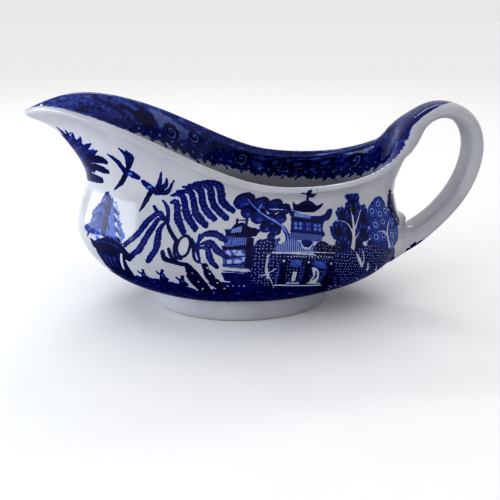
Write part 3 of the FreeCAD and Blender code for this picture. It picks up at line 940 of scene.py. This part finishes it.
def draw_ring_tree(c):
    """A tree whose leaves are rings inside scalloped outlines."""
    c.patch(((152.6, 50), (152.8, 57), (155, 60.2), (158, 63), (162, 63.8), (165.4, 61.6), (167, 58.2),
             (171.6, 55.6), (174, 49), (172, 42), (168, 40.4), (162, 39.6), (156, 41), (152, 44)),
            tone=0.72, ragged=0.3)
    for x, y in ((155.6, 56.8), (160.2, 60.4), (165, 57.4), (156.4, 50.8), (161.6, 52.4), (169, 52.4),
                 (155.6, 45.2), (160.6, 46), (167.2, 46.2), (171.6, 47.6), (160.6, 55.9), (166.6, 41.4)):
        c.disc(x, y, 2.8, 2.7, tone=DARK, ragged=0.2)
        c.ring(x, y, 2.5, 2.3, 0.45, tone=PALE)
        c.disc(x, y, 1.9, 1.8, tone=0.66, ragged=0.3)
        c.ring(x, y, 1.2, 1.1, 0.55, tone=0.0, ink=0.55)
        c.disc(x, y, 0.6, tone=DARK)
    c.lines((((166, 52.4), (163.4, 47), (164.8, 40.4)), (0.4, 1.0, 1.3)),
            (((157, 47.6), (161.4, 47.8), (163.6, 45)), (0.3, 0.7, 0.6)), **WHITE)


def draw_dark_tree(c):
    """The black-blue tree beside the handle."""
    c.patch(((170.6, 67.8), (173.4, 65.6), (176.6, 64.6), (177.6, 61.6), (175.6, 57.6), (172, 56), (168, 58),
             (168.6, 63)), tone=DARK, ragged=0.9)
    c.patch(((172.6, 57.4), (176.6, 57.8), (179.4, 54.8), (178.6, 51.6), (175.6, 49.8), (172.4, 52)),
            tone=DARK, ragged=0.9)
    for x, y in ((169.6, 65.4), (175.2, 60.2), (171.4, 59.4), (177.4, 56.6), (174.2, 53.2)):
        c.line(((x - 1.3, y + 0.7), (x + 1.5, y - 0.7)), (0.2, 0.7, 0.2), ragged=0.4, **WHITE)
    for i in range(6):
        c.line(((170 + 1.2 * i, 64 - 1.6 * i), (171.4 + 1.2 * i, 62.6 - 1.6 * i)), (0.5, 0.2), tone=PALE)


def draw_pale_trunks(c):
    """Bare white trunks and twigs in front of the dotted bushes, and the scratched bank below them."""
    c.line(((104.6, 34), (104, 28), (105, 23.6), (107.6, 16.6)), (0.8, 1.2, 1.5, 2.0), ragged=0.25, **WHITE)
    c.line(((101, 23.6), (104, 24.6), (108, 27.6)), (0.4, 0.8, 0.4), **WHITE)
    c.line(((105.4, 22), (107, 18), (107.6, 15.6)), (0.8, 1.4, 2.0), tone=DARK)
    c.line(((144.4, 37), (146.6, 34), (149.6, 30.4)), (0.9, 1.8, 1.0), ragged=0.3, **WHITE)
    c.line(((147.6, 38.6), (149, 34.4), (149.4, 31)), (0.3, 0.8, 0.8), **WHITE)
    c.line(((152.4, 32.4), (155, 28.4)), (0.6, 1.6), ragged=0.3, **WHITE)
    c.line(((160, 31.6), (163, 28), (168, 26)), (0.3, 1.0, 0.5), **WHITE)
    for i in range(60):
        x, y = 136 + 0.85 * i + c.rng.uniform(-1, 1), 13 + 10.5 * c.rng.uniform(0, 1) + 0.04 * i
        c.line(((x, y + 1.6), (x + 2.0, y + 0.2), (x + 4.6, y - 0.7)), (0.2, 1.0, 0.2), tone=DARK, ragged=0.4)
        c.line(((x, y + 1.4), (x + 1.8, y), (x + 4.2, y - 0.9)), (0.2, 0.5, 0.2), ragged=0.3,
               **(WHITE if i % 3 == 0 else {"tone": 0.2}))


def draw_outer(c):
    """The landscape on the outside, from the back of the scene to the front."""
    for draw in (draw_ground, draw_river, draw_fir, draw_gatehouse, draw_sprig, draw_birds):
        draw(c)
    c.patch(((150, 42.6), (160, 40), (168, 41), (172, 38), (176, 34), (182, 31), (193, 30), (193, 12),
             (150, 12)), tone=DARK, ragged=0.8)
    c.patch(((132, 34), (140, 40), (152, 40), (160, 30), (160, 14), (132, 15)), tone=DARK, ragged=0.4)
    draw_dotted_bush(c, 152.5, 30, 15, 11.6, 9)
    draw_dotted_bush(c, 142, 33, 8.6, 9.4, 7)
    draw_dotted_bush(c, 169, 28, 9, 8.6, 7)
    for draw in (draw_feather_tree, draw_ring_tree, draw_dark_tree):
        draw(c)
    draw_dotted_bush(c, 104, 29.4, 8.2, 11.4, 9)
    for draw in (draw_small_pagoda, draw_ball_tree, draw_temple_walls, draw_temple_roofs, draw_temple_porch,
                 draw_pale_trunks, draw_shore_trees):
        draw(c)
    for x, y in ((47.6, 26.4), (57.6, 26), (66.2, 22.4)):
        draw_figure(c, x, y)
    draw_willow_wood(c)
    draw_willow(c, WILLOW_SMALL, 2.7)
    draw_willow(c, WILLOW_BIG, 3.1)


def scroll(c, x, y, size):
    """A pale spiral curl with a bud at its centre."""
    turn = np.linspace(0.0, 2.2 * np.pi, 14)
    reach = size * (1.0 - 0.72 * turn / turn[-1])
    c.line(np.stack([x - reach * np.cos(turn), y + reach * np.sin(turn)], 1), (0.3, 0.9, 0.7, 0.4),
           tone=0.25, ragged=0.3)
    c.disc(x, y, 0.2 * size, tone=PALE)


def draw_pavilions(c):
    """Dark garden houses in the border, each with a pale curved roof line, and mist between them."""
    for i, (x, y, half) in enumerate(((112, 8.4, 4.6), (125, 9.6, 5.4), (140, 10, 4.8))):
        c.patch(((x - half, y + 3.4), (x + half, y + 3.8), (x + 0.7 * half, y - 2.8),
                 (x - 0.8 * half, y - 2.4)), tone=DARK, ragged=0.5)
        c.line(((x - 1.2 * half, y - 1.6), (x - 0.2 * half, y - 3.4), (x + 1.2 * half, y - 2.4)),
               (0.3, 0.6, 0.3), tone=0.4, ragged=0.3)
        c.patch(((x - 0.6 * half, y - 1), (x + (0.1 + 0.1 * i) * half, y - 1.2), (x + 0.1 * half, y + 0.9),
                 (x - 0.5 * half, y + 1.2)), tone=0.5, ragged=0.6)
        c.line(((x + 0.5 * half, y - 1.2), (x + 0.6 * half, y + 2.6)), (0.4, 0.6), tone=0.45, ragged=0.4)
        c.line(((x - 0.9 * half, y + 2.8), (x, y + 2.4), (x + 0.9 * half, y + 3)), (0.2, 0.5, 0.2),
               tone=0.35, ragged=0.4)
    for x, y, run in ((103, 6, 5), (104, 11, 4), (118.6, 12.6, 4), (133, 6, 4), (150, 8, 4), (134, 12.4, 3)):
        c.line(((x - run, y), (x, y + 0.8), (x + run, y + 0.1)), (0.1, 0.8, 0.1), tone=PALE, ragged=0.5)


INNER_EDGE = ((0, 21), (20, 20), (36, 19), (50, 17.6), (65, 18), (75, 16.4), (90, 13.6), (110, 14), (120, 15),
              (130, 16.4), (150, 18.4), (165, 19.4), (178, 19), (193, 19.6))


def draw_inner_band(c):
    """The border's dark band, with smoky patches and fine strokes."""
    c.patch([(-4, 0), (-4, 21), *INNER_EDGE, (194, 19), (194, -3.4), (183, -3.4), (177, 0), (150, 0),
             (60, 0)], tone=0.8, ragged=0.35, sharp=True)
    c.patch(((-4, 0.5), (-4, 17), (20, 16), (34, 14), (44, 8), (52, 3), (60, 1), (40, 0.3), (10, 0.3)),
            tone=0.66, ragged=1.2)
    for i in range(300):
        x, y = c.rng.uniform(0, 188), c.rng.uniform(1, 15)
        size = c.rng.uniform(0.5, 1.9)
        c.disc(x, y, size, 0.7 * size, tone=(DARK, MIDDLE, 0.92, 0.5)[i % 4], ragged=0.7)
    for i in range(190):
        x, y = c.rng.uniform(0, 188), c.rng.uniform(2.5, 15)
        run, lean = c.rng.uniform(1.0, 3.4), c.rng.uniform(-1.6, 1.6)
        c.line(((x, y), (x + 0.5 * run, y + 0.7 * lean), (x + run, y + lean)), (0.1, 0.45, 0.1),
               tone=0.5 if i % 3 else PALE, ragged=0.3)


def draw_spout_leaves(c):
    """Crossed strokes, dark and lighter leaves, and a patch of thin ink on the border near the spout."""
    for i in range(15):
        x = 1 + 2.6 * i
        for lean in (-1, 1):
            c.line(((x - 3 * lean, 3), (x + 3 * lean, 14)), 0.3, tone=0.42)
    for points, width in ((((22, 5), (27, 9), (31, 12)), 2.4), (((39, 4), (43, 7), (49, 8)), 3.2),
                          (((12, 12), (18, 11), (22, 13)), 1.8)):
        c.line(points, (0.6 * width, width, 0.4 * width), tone=0.94, ragged=1.3)
    for points, width in ((((30, 3.4), (36, 6), (40, 10)), 2.8), (((47, 4), (54, 6.4), (62, 7.4)), 3.4),
                          (((8, 6), (16, 6.6), (20, 8)), 2.0)):
        c.line(points, (0.4 * width, width, 0.5 * width), tone=0.5, ragged=1.3)
    c.patch(((44, 3.4), (51, 3.4), (58, 6), (66, 7.4), (63, 10.8), (56, 14), (49, 12.4), (46, 8)),
            tone=0.5, ink=0.55, ragged=1.0)
    c.patch(((29, 8.4), (34, 9), (38, 12.6), (44, 14.6), (45, 10), (41, 6.8), (37, 8.2), (33, 6.2)),
            tone=DARK, ragged=0.6)


def draw_curls_and_flowers(c):
    """Pale curls on dark rounds, and dark flowers with five petals."""
    for x, y, size in ((54, 11.6, 3.2), (66, 8.8, 2.6), (92, 8.8, 3.6), (158, 12.4, 3.8), (166, 8.6, 2.4)):
        c.disc(x, y, 1.25 * size, 1.2 * size, tone=DARK, ragged=0.5)
        scroll(c, x, y, size)
    for x, y, size in ((70.5, 13.6, 2.5), (76, 12.4, 3.0), (82, 12, 2.6), (88, 13.4, 1.8), (59.6, 15.4, 1.7),
                       (148, 15.2, 2.0)):
        c.disc(x, y, size, 0.95 * size, tone=DARK, ragged=0.4)
        for i in range(5):
            turn = 0.4 + 1.26 * i
            c.ring(x + 0.55 * size * np.cos(turn), y + 0.5 * size * np.sin(turn), 0.36 * size, 0.3 * size,
                   0.3, tone=0.42)


def draw_fringe(c):
    """Small dark flowers along the band's lower edge, and a few strokes at the handle's end."""
    for i in range(70):
        x = 1.5 + 2.7 * i + c.rng.uniform(-0.7, 0.7)
        base = np.interp(x, *np.transpose(INNER_EDGE)) + c.rng.uniform(-0.6, 0.6)
        size = (1.9, 1.2, 1.5, 0.9)[i % 4]
        c.disc(x, base, size, 0.9 * size, tone=DARK, ragged=0.5)
        c.ring(x, base, 0.62 * size, 0.55 * size, 0.3, tone=PALE, ink=0.9)
        if i % 2:
            c.disc(x + 1.3, base - 1.9, 0.5, ragged=0.25, tone=0.0, ink=0.6)
        if i % 3 == 0:
            c.disc(x + 1.6, base + 1.8, 0.7, ragged=0.5)
    for x in range(166, 190, 3):
        c.line(((x, 1), (x + 1.2, 7), (x + 0.4, 14)), (0.2, 0.6, 0.2), tone=0.5, ragged=0.4)


def draw_inner(c):
    """The border inside the lip: a dark band with smoky patches, curls and a fringe of small dark flowers."""
    for draw in (draw_inner_band, draw_spout_leaves, draw_pavilions, draw_curls_and_flowers, draw_fringe):
        draw(c)


# ---------------------------------------------------------------- materials

INK_STOPS = ((0.0, (0.24, 0.36, 0.72)), (0.3, (0.070, 0.155, 0.50)), (0.6, (0.012, 0.038, 0.27)),
             (0.85, (0.0035, 0.0065, 0.125)), (1.0, (0.0015, 0.002, 0.045)))
GLAZE_WHITE = (0.505, 0.506, 0.54)
GLAZE_GREY = (0.45, 0.452, 0.488)
DOT_PITCH = 1.5
BAR_PITCH = 0.9
CRAZING = (0.36, 0.38, 0.42)
PIT = (0.07, 0.06, 0.07)
STAIN = (0.30, 0.40, 0.68)
# Painted shade: grey mixed into the glaze deeper inside the bowl, where the cavity is shaded.
CAVITY_SHADE = (0.30, 0.32, 0.315)
BARE_CLAY = (0.56, 0.52, 0.47)
PAPER = ((0.85, 0.85, 0.855), (0.88, 0.88, 0.88))
GLAZE_ROUGHNESS = 0.085
GLAZE_IOR = 1.52


class Nodes:
    """Short-hand for building one material's nodes."""

    def __init__(self, name):
        self.material = bpy.data.materials.new(name)
        self.material.use_nodes = True
        self.tree = self.material.node_tree
        self.shader = self.tree.nodes["Principled BSDF"]

    def add(self, kind, inputs=None, **settings):
        node = self.tree.nodes.new("ShaderNode" + kind)
        for key, value in settings.items():
            setattr(node, key, value)
        for key, value in (inputs or {}).items():
            self.put(value, node.inputs[key])
        return node

    def put(self, value, socket):
        if isinstance(value, bpy.types.NodeSocket):
            self.tree.links.new(value, socket)
        else:
            socket.default_value = value

    def math(self, operation, a, b=0.0):
        return self.add("Math", {0: a, 1: b}, operation=operation).outputs[0]

    def swing(self, value, amount):
        """A noise between 0 and 1 turned into a swing about nought."""
        return self.math("MULTIPLY", self.math("SUBTRACT", value, 0.5), amount)

    def ease(self, value, low, high, start=0.0, end=1.0):
        """A smooth step of a value between two levels."""
        inputs = {"Value": value, "From Min": low, "From Max": high, "To Min": start, "To Max": end}
        return self.add("MapRange", inputs, interpolation_type="SMOOTHSTEP").outputs[0]

    def mix(self, factor, a, b):
        node = self.add("Mix", data_type="RGBA")
        for value, socket in zip((factor, a, b), (node.inputs[0], node.inputs[6], node.inputs[7])):
            self.put((*value, 1.0) if isinstance(value, tuple) else value, socket)
        return node.outputs[2]

    def attribute(self, name):
        return self.add("Attribute", attribute_name=name).outputs["Fac"]

    def noise(self, vector, scale, detail=2.0, dimensions="3D"):
        inputs = {"Vector": vector, "Scale": scale, "Detail": detail}
        return self.add("TexNoise", inputs, noise_dimensions=dimensions).outputs["Fac"]

    def ramp(self, value, stops):
        node = self.add("ValToRGB", {0: value})
        elements = node.color_ramp.elements
        while len(elements) < len(stops):
            elements.new(0.5)
        for element, (place, color) in zip(elements, stops):
            element.position = place
            element.color = (*color, 1.0)
        return node.outputs[0]


def glaze_white(nodes, place):
    """White glaze with faint pooling, hairline crazing and a few dark pits."""
    glaze_pool_and_cavity_shade = nodes.ease(nodes.noise(place, 45.0, 3.0), 0.35, 0.7)
    color = nodes.mix(glaze_pool_and_cavity_shade, GLAZE_WHITE, GLAZE_GREY)
    inputs = {"Vector": place, "Scale": 190.0}
    cracks = nodes.add("TexVoronoi", inputs, feature="DISTANCE_TO_EDGE").outputs["Distance"]
    faint = nodes.ease(nodes.noise(place, 30.0), 0.45, 0.7, 0.0, 0.22)
    line = nodes.math("MULTIPLY", nodes.ease(cracks, 0.0, 0.03, 1.0, 0.0), faint)
    color = nodes.mix(line, color, CRAZING)
    pits = nodes.add("TexVoronoi", {"Vector": place, "Scale": 62.0})
    chance = nodes.add("SeparateColor", {0: pits.outputs["Color"]}).outputs[0]
    rare = nodes.math("GREATER_THAN", chance, 0.80)
    pit = nodes.math("MULTIPLY", nodes.ease(pits.outputs["Distance"], 0.018, 0.034, 1.0, 0.0), rare)
    return nodes.mix(nodes.math("MULTIPLY", pit, 0.8), color, PIT)


def finish_glaze(nodes, place, color):
    """Glassy glaze whose surface undulates a little. Surfaces that face down reflect less."""
    height = nodes.math("ADD", nodes.noise(place, 38.0, 1.0),
                        nodes.math("MULTIPLY", nodes.noise(place, 260.0, 1.0), 0.10))
    bump = nodes.add("Bump", {"Height": height, "Strength": 0.30, "Distance": 0.0012})
    facing = nodes.add("SeparateXYZ", {0: nodes.add("NewGeometry").outputs["Normal"]}).outputs[2]
    nodes.put(color, nodes.shader.inputs["Base Color"])
    nodes.put(bump.outputs[0], nodes.shader.inputs["Normal"])
    nodes.put(nodes.ease(facing, -0.5, 0.3, 0.01, 0.5), nodes.shader.inputs["Specular IOR Level"])
    nodes.shader.inputs["Roughness"].default_value = GLAZE_ROUGHNESS
    nodes.shader.inputs["IOR"].default_value = GLAZE_IOR
    return nodes.material


def printed_glaze(name):
    """Blue print under clear glaze, drawn from the attributes that the sheets leave on the mesh."""
    nodes = Nodes(name)
    place = nodes.add("TexCoord").outputs["Object"]
    around, wall = nodes.attribute("around"), nodes.attribute("wall")
    flat = nodes.add("CombineXYZ", {0: around, 1: wall}).outputs[0]
    grain = nodes.noise(flat, 2.6, 2.0, "2D")
    cloud = nodes.noise(flat, 0.42, 3.0, "2D")
    tone = nodes.attribute("tone")
    ragged = nodes.math("ADD", nodes.attribute("ink"), nodes.swing(grain, 0.5))
    cover = nodes.ease(ragged, 0.36, 0.60)

    cells = nodes.add("TexVoronoi", {"Vector": flat, "Scale": 1.0 / DOT_PITCH, "Randomness": 0.45},
                      voronoi_dimensions="2D").outputs["Distance"]
    dots = nodes.math("MULTIPLY", nodes.ease(cells, 0.13, 0.25, 1.0, 0.0), nodes.attribute("dots"))
    wave = nodes.math("SINE", nodes.math("MULTIPLY", around, 2.0 * math.pi / BAR_PITCH))
    bars = nodes.math("MULTIPLY", nodes.ease(wave, -0.2, 0.5), nodes.attribute("bars"))
    specks = nodes.math("MULTIPLY", nodes.ease(grain, 0.52, 0.66), nodes.ease(tone, 0.25, 0.75, 0.7, 0.0))
    for hole, depth in ((dots, 0.8), (bars, 0.6), (specks, 0.7)):
        left = nodes.math("SUBTRACT", 1.0, nodes.math("MULTIPLY", hole, depth))
        cover = nodes.math("MULTIPLY", cover, left)

    shade = nodes.math("ADD", tone, nodes.swing(grain, 0.6))
    shade = nodes.math("ADD", shade, nodes.swing(cloud, 0.4))
    ink = nodes.ramp(shade, INK_STOPS)
    stain = nodes.math("MULTIPLY", nodes.attribute("stain"), 0.32)
    white = nodes.mix(stain, glaze_white(nodes, place), STAIN)
    # Painted shade: the glaze inside the bowl greys with depth below the lip, in place of the cavity's shade.
    white = nodes.mix(nodes.math("MULTIPLY", nodes.attribute("glaze_pool_and_cavity_shade"), 0.55), white, CAVITY_SHADE)
    return finish_glaze(nodes, place, nodes.mix(cover, white, ink))


def white_glaze(name):
    """Plain glaze, worn to bare clay where the foot stands on the floor."""
    nodes = Nodes(name)
    place = nodes.add("TexCoord").outputs["Object"]
    color = glaze_white(nodes, place)
    height = nodes.add("SeparateXYZ", {0: place}).outputs[2]
    bare = nodes.ease(nodes.math("ADD", height, nodes.math("MULTIPLY", nodes.noise(place, 300.0), 0.0006)),
                      0.0005, 0.0011, 1.0, 0.0)
    return finish_glaze(nodes, place, nodes.mix(bare, color, BARE_CLAY))


def floor_paper():
    """Matt paper whose shade varies slightly."""
    nodes = Nodes("floor_paper")
    place = nodes.add("TexCoord").outputs["Object"]
    nodes.put(nodes.mix(nodes.noise(place, 40.0), *PAPER), nodes.shader.inputs["Base Color"])
    nodes.shader.inputs["Roughness"].default_value = 0.9
    nodes.shader.inputs["Specular IOR Level"].default_value = 0.1
    return nodes.material


# ---------------------------------------------------------------- laying the print on the pieces

def blurred(layer, reach):
    """A layer softened by three passes of a moving average."""
    for axis in (0, 1):
        for _ in range(3):
            margins = [(reach + 1, reach) if a == axis else (0, 0) for a in (0, 1)]
            total = np.cumsum(np.pad(layer, margins, "edge"), axis)
            ahead = np.take(total, range(2 * reach + 1, total.shape[axis]), axis)
            behind = np.take(total, range(0, total.shape[axis] - 2 * reach - 1), axis)
            layer = (ahead - behind) / (2 * reach + 1)
    return layer


LAYERS = ("ink", "tone", "dots", "bars", "stain")


def bowl_print(sheet):
    """Values of the print at every point of the bowl's grid, the same on both sides of the boat."""
    outer, inner = Canvas(*OUTER_SHEET, seed=4), Canvas(*INNER_SHEET, seed=9)
    draw_outer(outer)
    draw_inner(inner)
    rows, columns = sheet.grid.shape[:2]
    around = np.minimum(sheet.around, sheet.full - sheet.around) * (SHEET_LENGTH / (0.5 * sheet.full))
    around = np.broadcast_to(around, (rows, columns))
    outside = sheet.down_wall < 0.0
    # Painted shade inside the bowl, growing with depth below the lip.
    glaze_pool_and_cavity_shade = np.clip((sheet.down_wall - CAVITY_SHADE_START) / CAVITY_SHADE_RUN, 0.0, 1.0)
    values = {"around": around, "wall": sheet.up_wall, "glaze_pool_and_cavity_shade": glaze_pool_and_cavity_shade}
    for canvas in (outer, inner):
        canvas.layers["stain"] = blurred(canvas.layers["ink"], int(STAIN_REACH * DETAIL))
    for key in LAYERS:
        up = outer.sample(key, around, sheet.up_wall)
        down = inner.sample(key, around, sheet.down_wall)
        values[key] = np.where(outside, up, down * (sheet.down_wall < PRINT_DEPTH - 1.0))
    return values


def draw_strap(c):
    """Streaked print on the strap's upper face, ending in a point at the top."""
    edge = ((-4, 12.5), (8, 14), (16, 14.8), (22, 14), (25, 13.2), (30, 10.6), (36, 8.8), (42, 7.6),
            (47, 5.6), (52, 1.6))
    c.patch([(x, -y) for x, y in edge] + [(x, y) for x, y in reversed(edge)], sharp=True, ragged=0.08)
    for i in range(90):
        x, y = c.rng.uniform(0, 34), c.rng.uniform(-8.4, 8.4)
        run = c.rng.uniform(4, 9)
        c.line(((x, y), (x + 0.5 * run, 0.8 * y + 0.3), (x + run, 0.6 * y)), (0.1, 0.7, 0.1), ragged=0.3,
               tone=(0.45, DARK, MIDDLE, DARK, 0.66)[i % 5])


def strap_print(grid):
    """Values of the print at every point of the strap's grid."""
    canvas = Canvas(*STRAP_SHEET, seed=7)
    draw_strap(canvas)
    rows, across = grid.shape[:2]
    ring = np.concatenate([grid, grid[:, :1]], 1)
    walked = np.cumsum(np.linalg.norm(np.diff(ring, axis=1), axis=2), axis=1)
    from_top = np.concatenate([np.zeros((rows, 1)), walked[:, :-1]], 1)
    side = np.where(np.arange(across) <= across // 2, from_top, from_top - walked[:, -1:])
    along = np.broadcast_to(path_lengths(grid[:, 0])[:, None], (rows, across))
    draw_strap_marks(canvas, along[-1, 0])
    canvas.layers["stain"] = blurred(canvas.layers["ink"], int(STAIN_REACH * DETAIL))
    values = {"around": along, "wall": side}
    for key in LAYERS:
        values[key] = canvas.sample(key, along, side)
    return values


def draw_strap_marks(c, end):
    """Leaves on the outer face above the strap's lower end; the far side has a few of its own."""
    for back, side, size in ((9, 7.6, 1.6), (11.6, 8.8, 1.3), (14.6, 7.4, 1.5), (17.4, 6.6, 1.2),
                             (20.6, 6.4, 0.9), (10, -7.8, 1.4), (13.4, -8.4, 1.3)):
        c.disc(end - back, side, 1.5 * size, size, tone=DARK, ragged=0.8)


# ---------------------------------------------------------------- scene

FLOOR_HALF = 20.0           # metres
CAMERA_PLACE = (-4.5, -270.0, 128.6)
CAMERA_DOWN = math.radians(21.08)
CAMERA_YAW = math.radians(1.88)
CAMERA_LENS = 43.3
ROOM_TOP = 0.62             # brightness overhead, low down, and in front of the boat
ROOM_LOW = 0.50
ROOM_FRONT = 0.22
PURE_WHITE = (1.0, 1.0, 1.0)
# Each light's name, place, target, width and height, power in watts and colour, with lengths in metres.
LIGHTS = (
    ("window", (-0.63, -0.10, 0.15), (0.0, 0.0, 0.05), (0.70, 0.30), 1.75, (0.86, 0.94, 1.0)),
    ("lamp", (-0.5, -0.7, 0.9), (0.0, 0.0, 0.05), (0.30, 0.30), 0.35, PURE_WHITE),
    ("strip", (0.05, 0.62, 0.80), (0.0, 0.0, 0.06), (0.46, 0.05), 0.5, PURE_WHITE),
)


def add_floor():
    """A wide sheet of pale paper under the boat."""
    mesh = bpy.data.meshes.new("floor")
    corners = [(-FLOOR_HALF, -FLOOR_HALF, 0), (FLOOR_HALF, -FLOOR_HALF, 0), (FLOOR_HALF, FLOOR_HALF, 0),
               (-FLOOR_HALF, FLOOR_HALF, 0)]
    mesh.from_pydata(corners, [], [(0, 1, 2, 3)])
    floor = bpy.data.objects.new("floor", mesh)
    bpy.context.scene.collection.objects.link(floor)
    mesh.materials.append(floor_paper())


def add_camera():
    """A camera close to the boat, looking down at it a little from the left."""
    data = bpy.data.cameras.new("camera")
    data.sensor_width = 36.0
    data.lens = CAMERA_LENS
    data.clip_start = 0.01
    camera = bpy.data.objects.new("camera", data)
    camera.location = Vector(CAMERA_PLACE) * MM
    camera.rotation_euler = (0.5 * math.pi - CAMERA_DOWN, 0.0, -CAMERA_YAW)
    bpy.context.scene.collection.objects.link(camera)
    bpy.context.scene.camera = camera


def add_area(name, place, target, size, power, color):
    """A rectangular lamp, in metres, turned to face its target."""
    data = bpy.data.lights.new(name, "AREA")
    data.shape = "RECTANGLE"
    data.size, data.size_y = size
    data.energy = power
    data.color = color
    light = bpy.data.objects.new(name, data)
    light.location = place
    light.rotation_euler = (Vector(target) - Vector(place)).to_track_quat("-Z", "Y").to_euler()
    bpy.context.scene.collection.objects.link(light)


def add_lights():
    """The lamps, and a pale room with a dim band in front of the boat."""
    world = bpy.data.worlds.new("soft_room")
    world.use_nodes = True
    tree = world.node_tree
    direction = tree.nodes.new("ShaderNodeTexCoord")
    split = tree.nodes.new("ShaderNodeSeparateXYZ")
    tree.links.new(direction.outputs["Generated"], split.inputs[0])
    forward, upward = split.outputs[1], split.outputs[2]

    def room_step(value, low, high, start, end):
        """A smooth step of the room's brightness between two directions."""
        step = tree.nodes.new("ShaderNodeMapRange")
        step.interpolation_type = "SMOOTHSTEP"
        tree.links.new(value, step.inputs["Value"])
        for key, level in (("From Min", low), ("From Max", high), ("To Min", start), ("To Max", end)):
            if isinstance(level, float):
                step.inputs[key].default_value = level
            else:
                tree.links.new(level, step.inputs[key])
        return step.outputs[0]

    above_horizon = room_step(forward, -0.1, 0.4, ROOM_FRONT, ROOM_LOW)
    sides = room_step(upward, 0.10, 0.24, ROOM_LOW, above_horizon)
    level = room_step(upward, 0.24, 0.48, sides, ROOM_TOP)
    background = tree.nodes["Background"]
    tree.links.new(level, background.inputs["Strength"])
    background.inputs["Color"].default_value = (*PURE_WHITE, 1.0)
    bpy.context.scene.world = world
    for light in LIGHTS:
        add_area(*light)
    bpy.context.scene.view_settings.view_transform = "Standard"
    bpy.context.scene.view_settings.look = "Very High Contrast"


sheet = BowlSheet()
strap = strap_grid()
bowl = build_bowl(sheet, tree_distance(grid_tree(strap)))
handle = build_handle(strap, sheet)
foot = build_foot()
print_glaze = printed_glaze("printed_glaze")
for piece, nodes, slot, material in (
    (bowl, ("bowl",), "printed_glaze", print_glaze),
    (handle, ("handle", "handle_slip"), "handle_glaze", printed_glaze("handle_glaze")),
    (foot, ("foot_ring",), "white_glaze", white_glaze("white_glaze")),
):
    piece.data.materials.append(material)
    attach(piece, "root")
    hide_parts(*nodes)
add_floor()
add_camera()
add_lights()
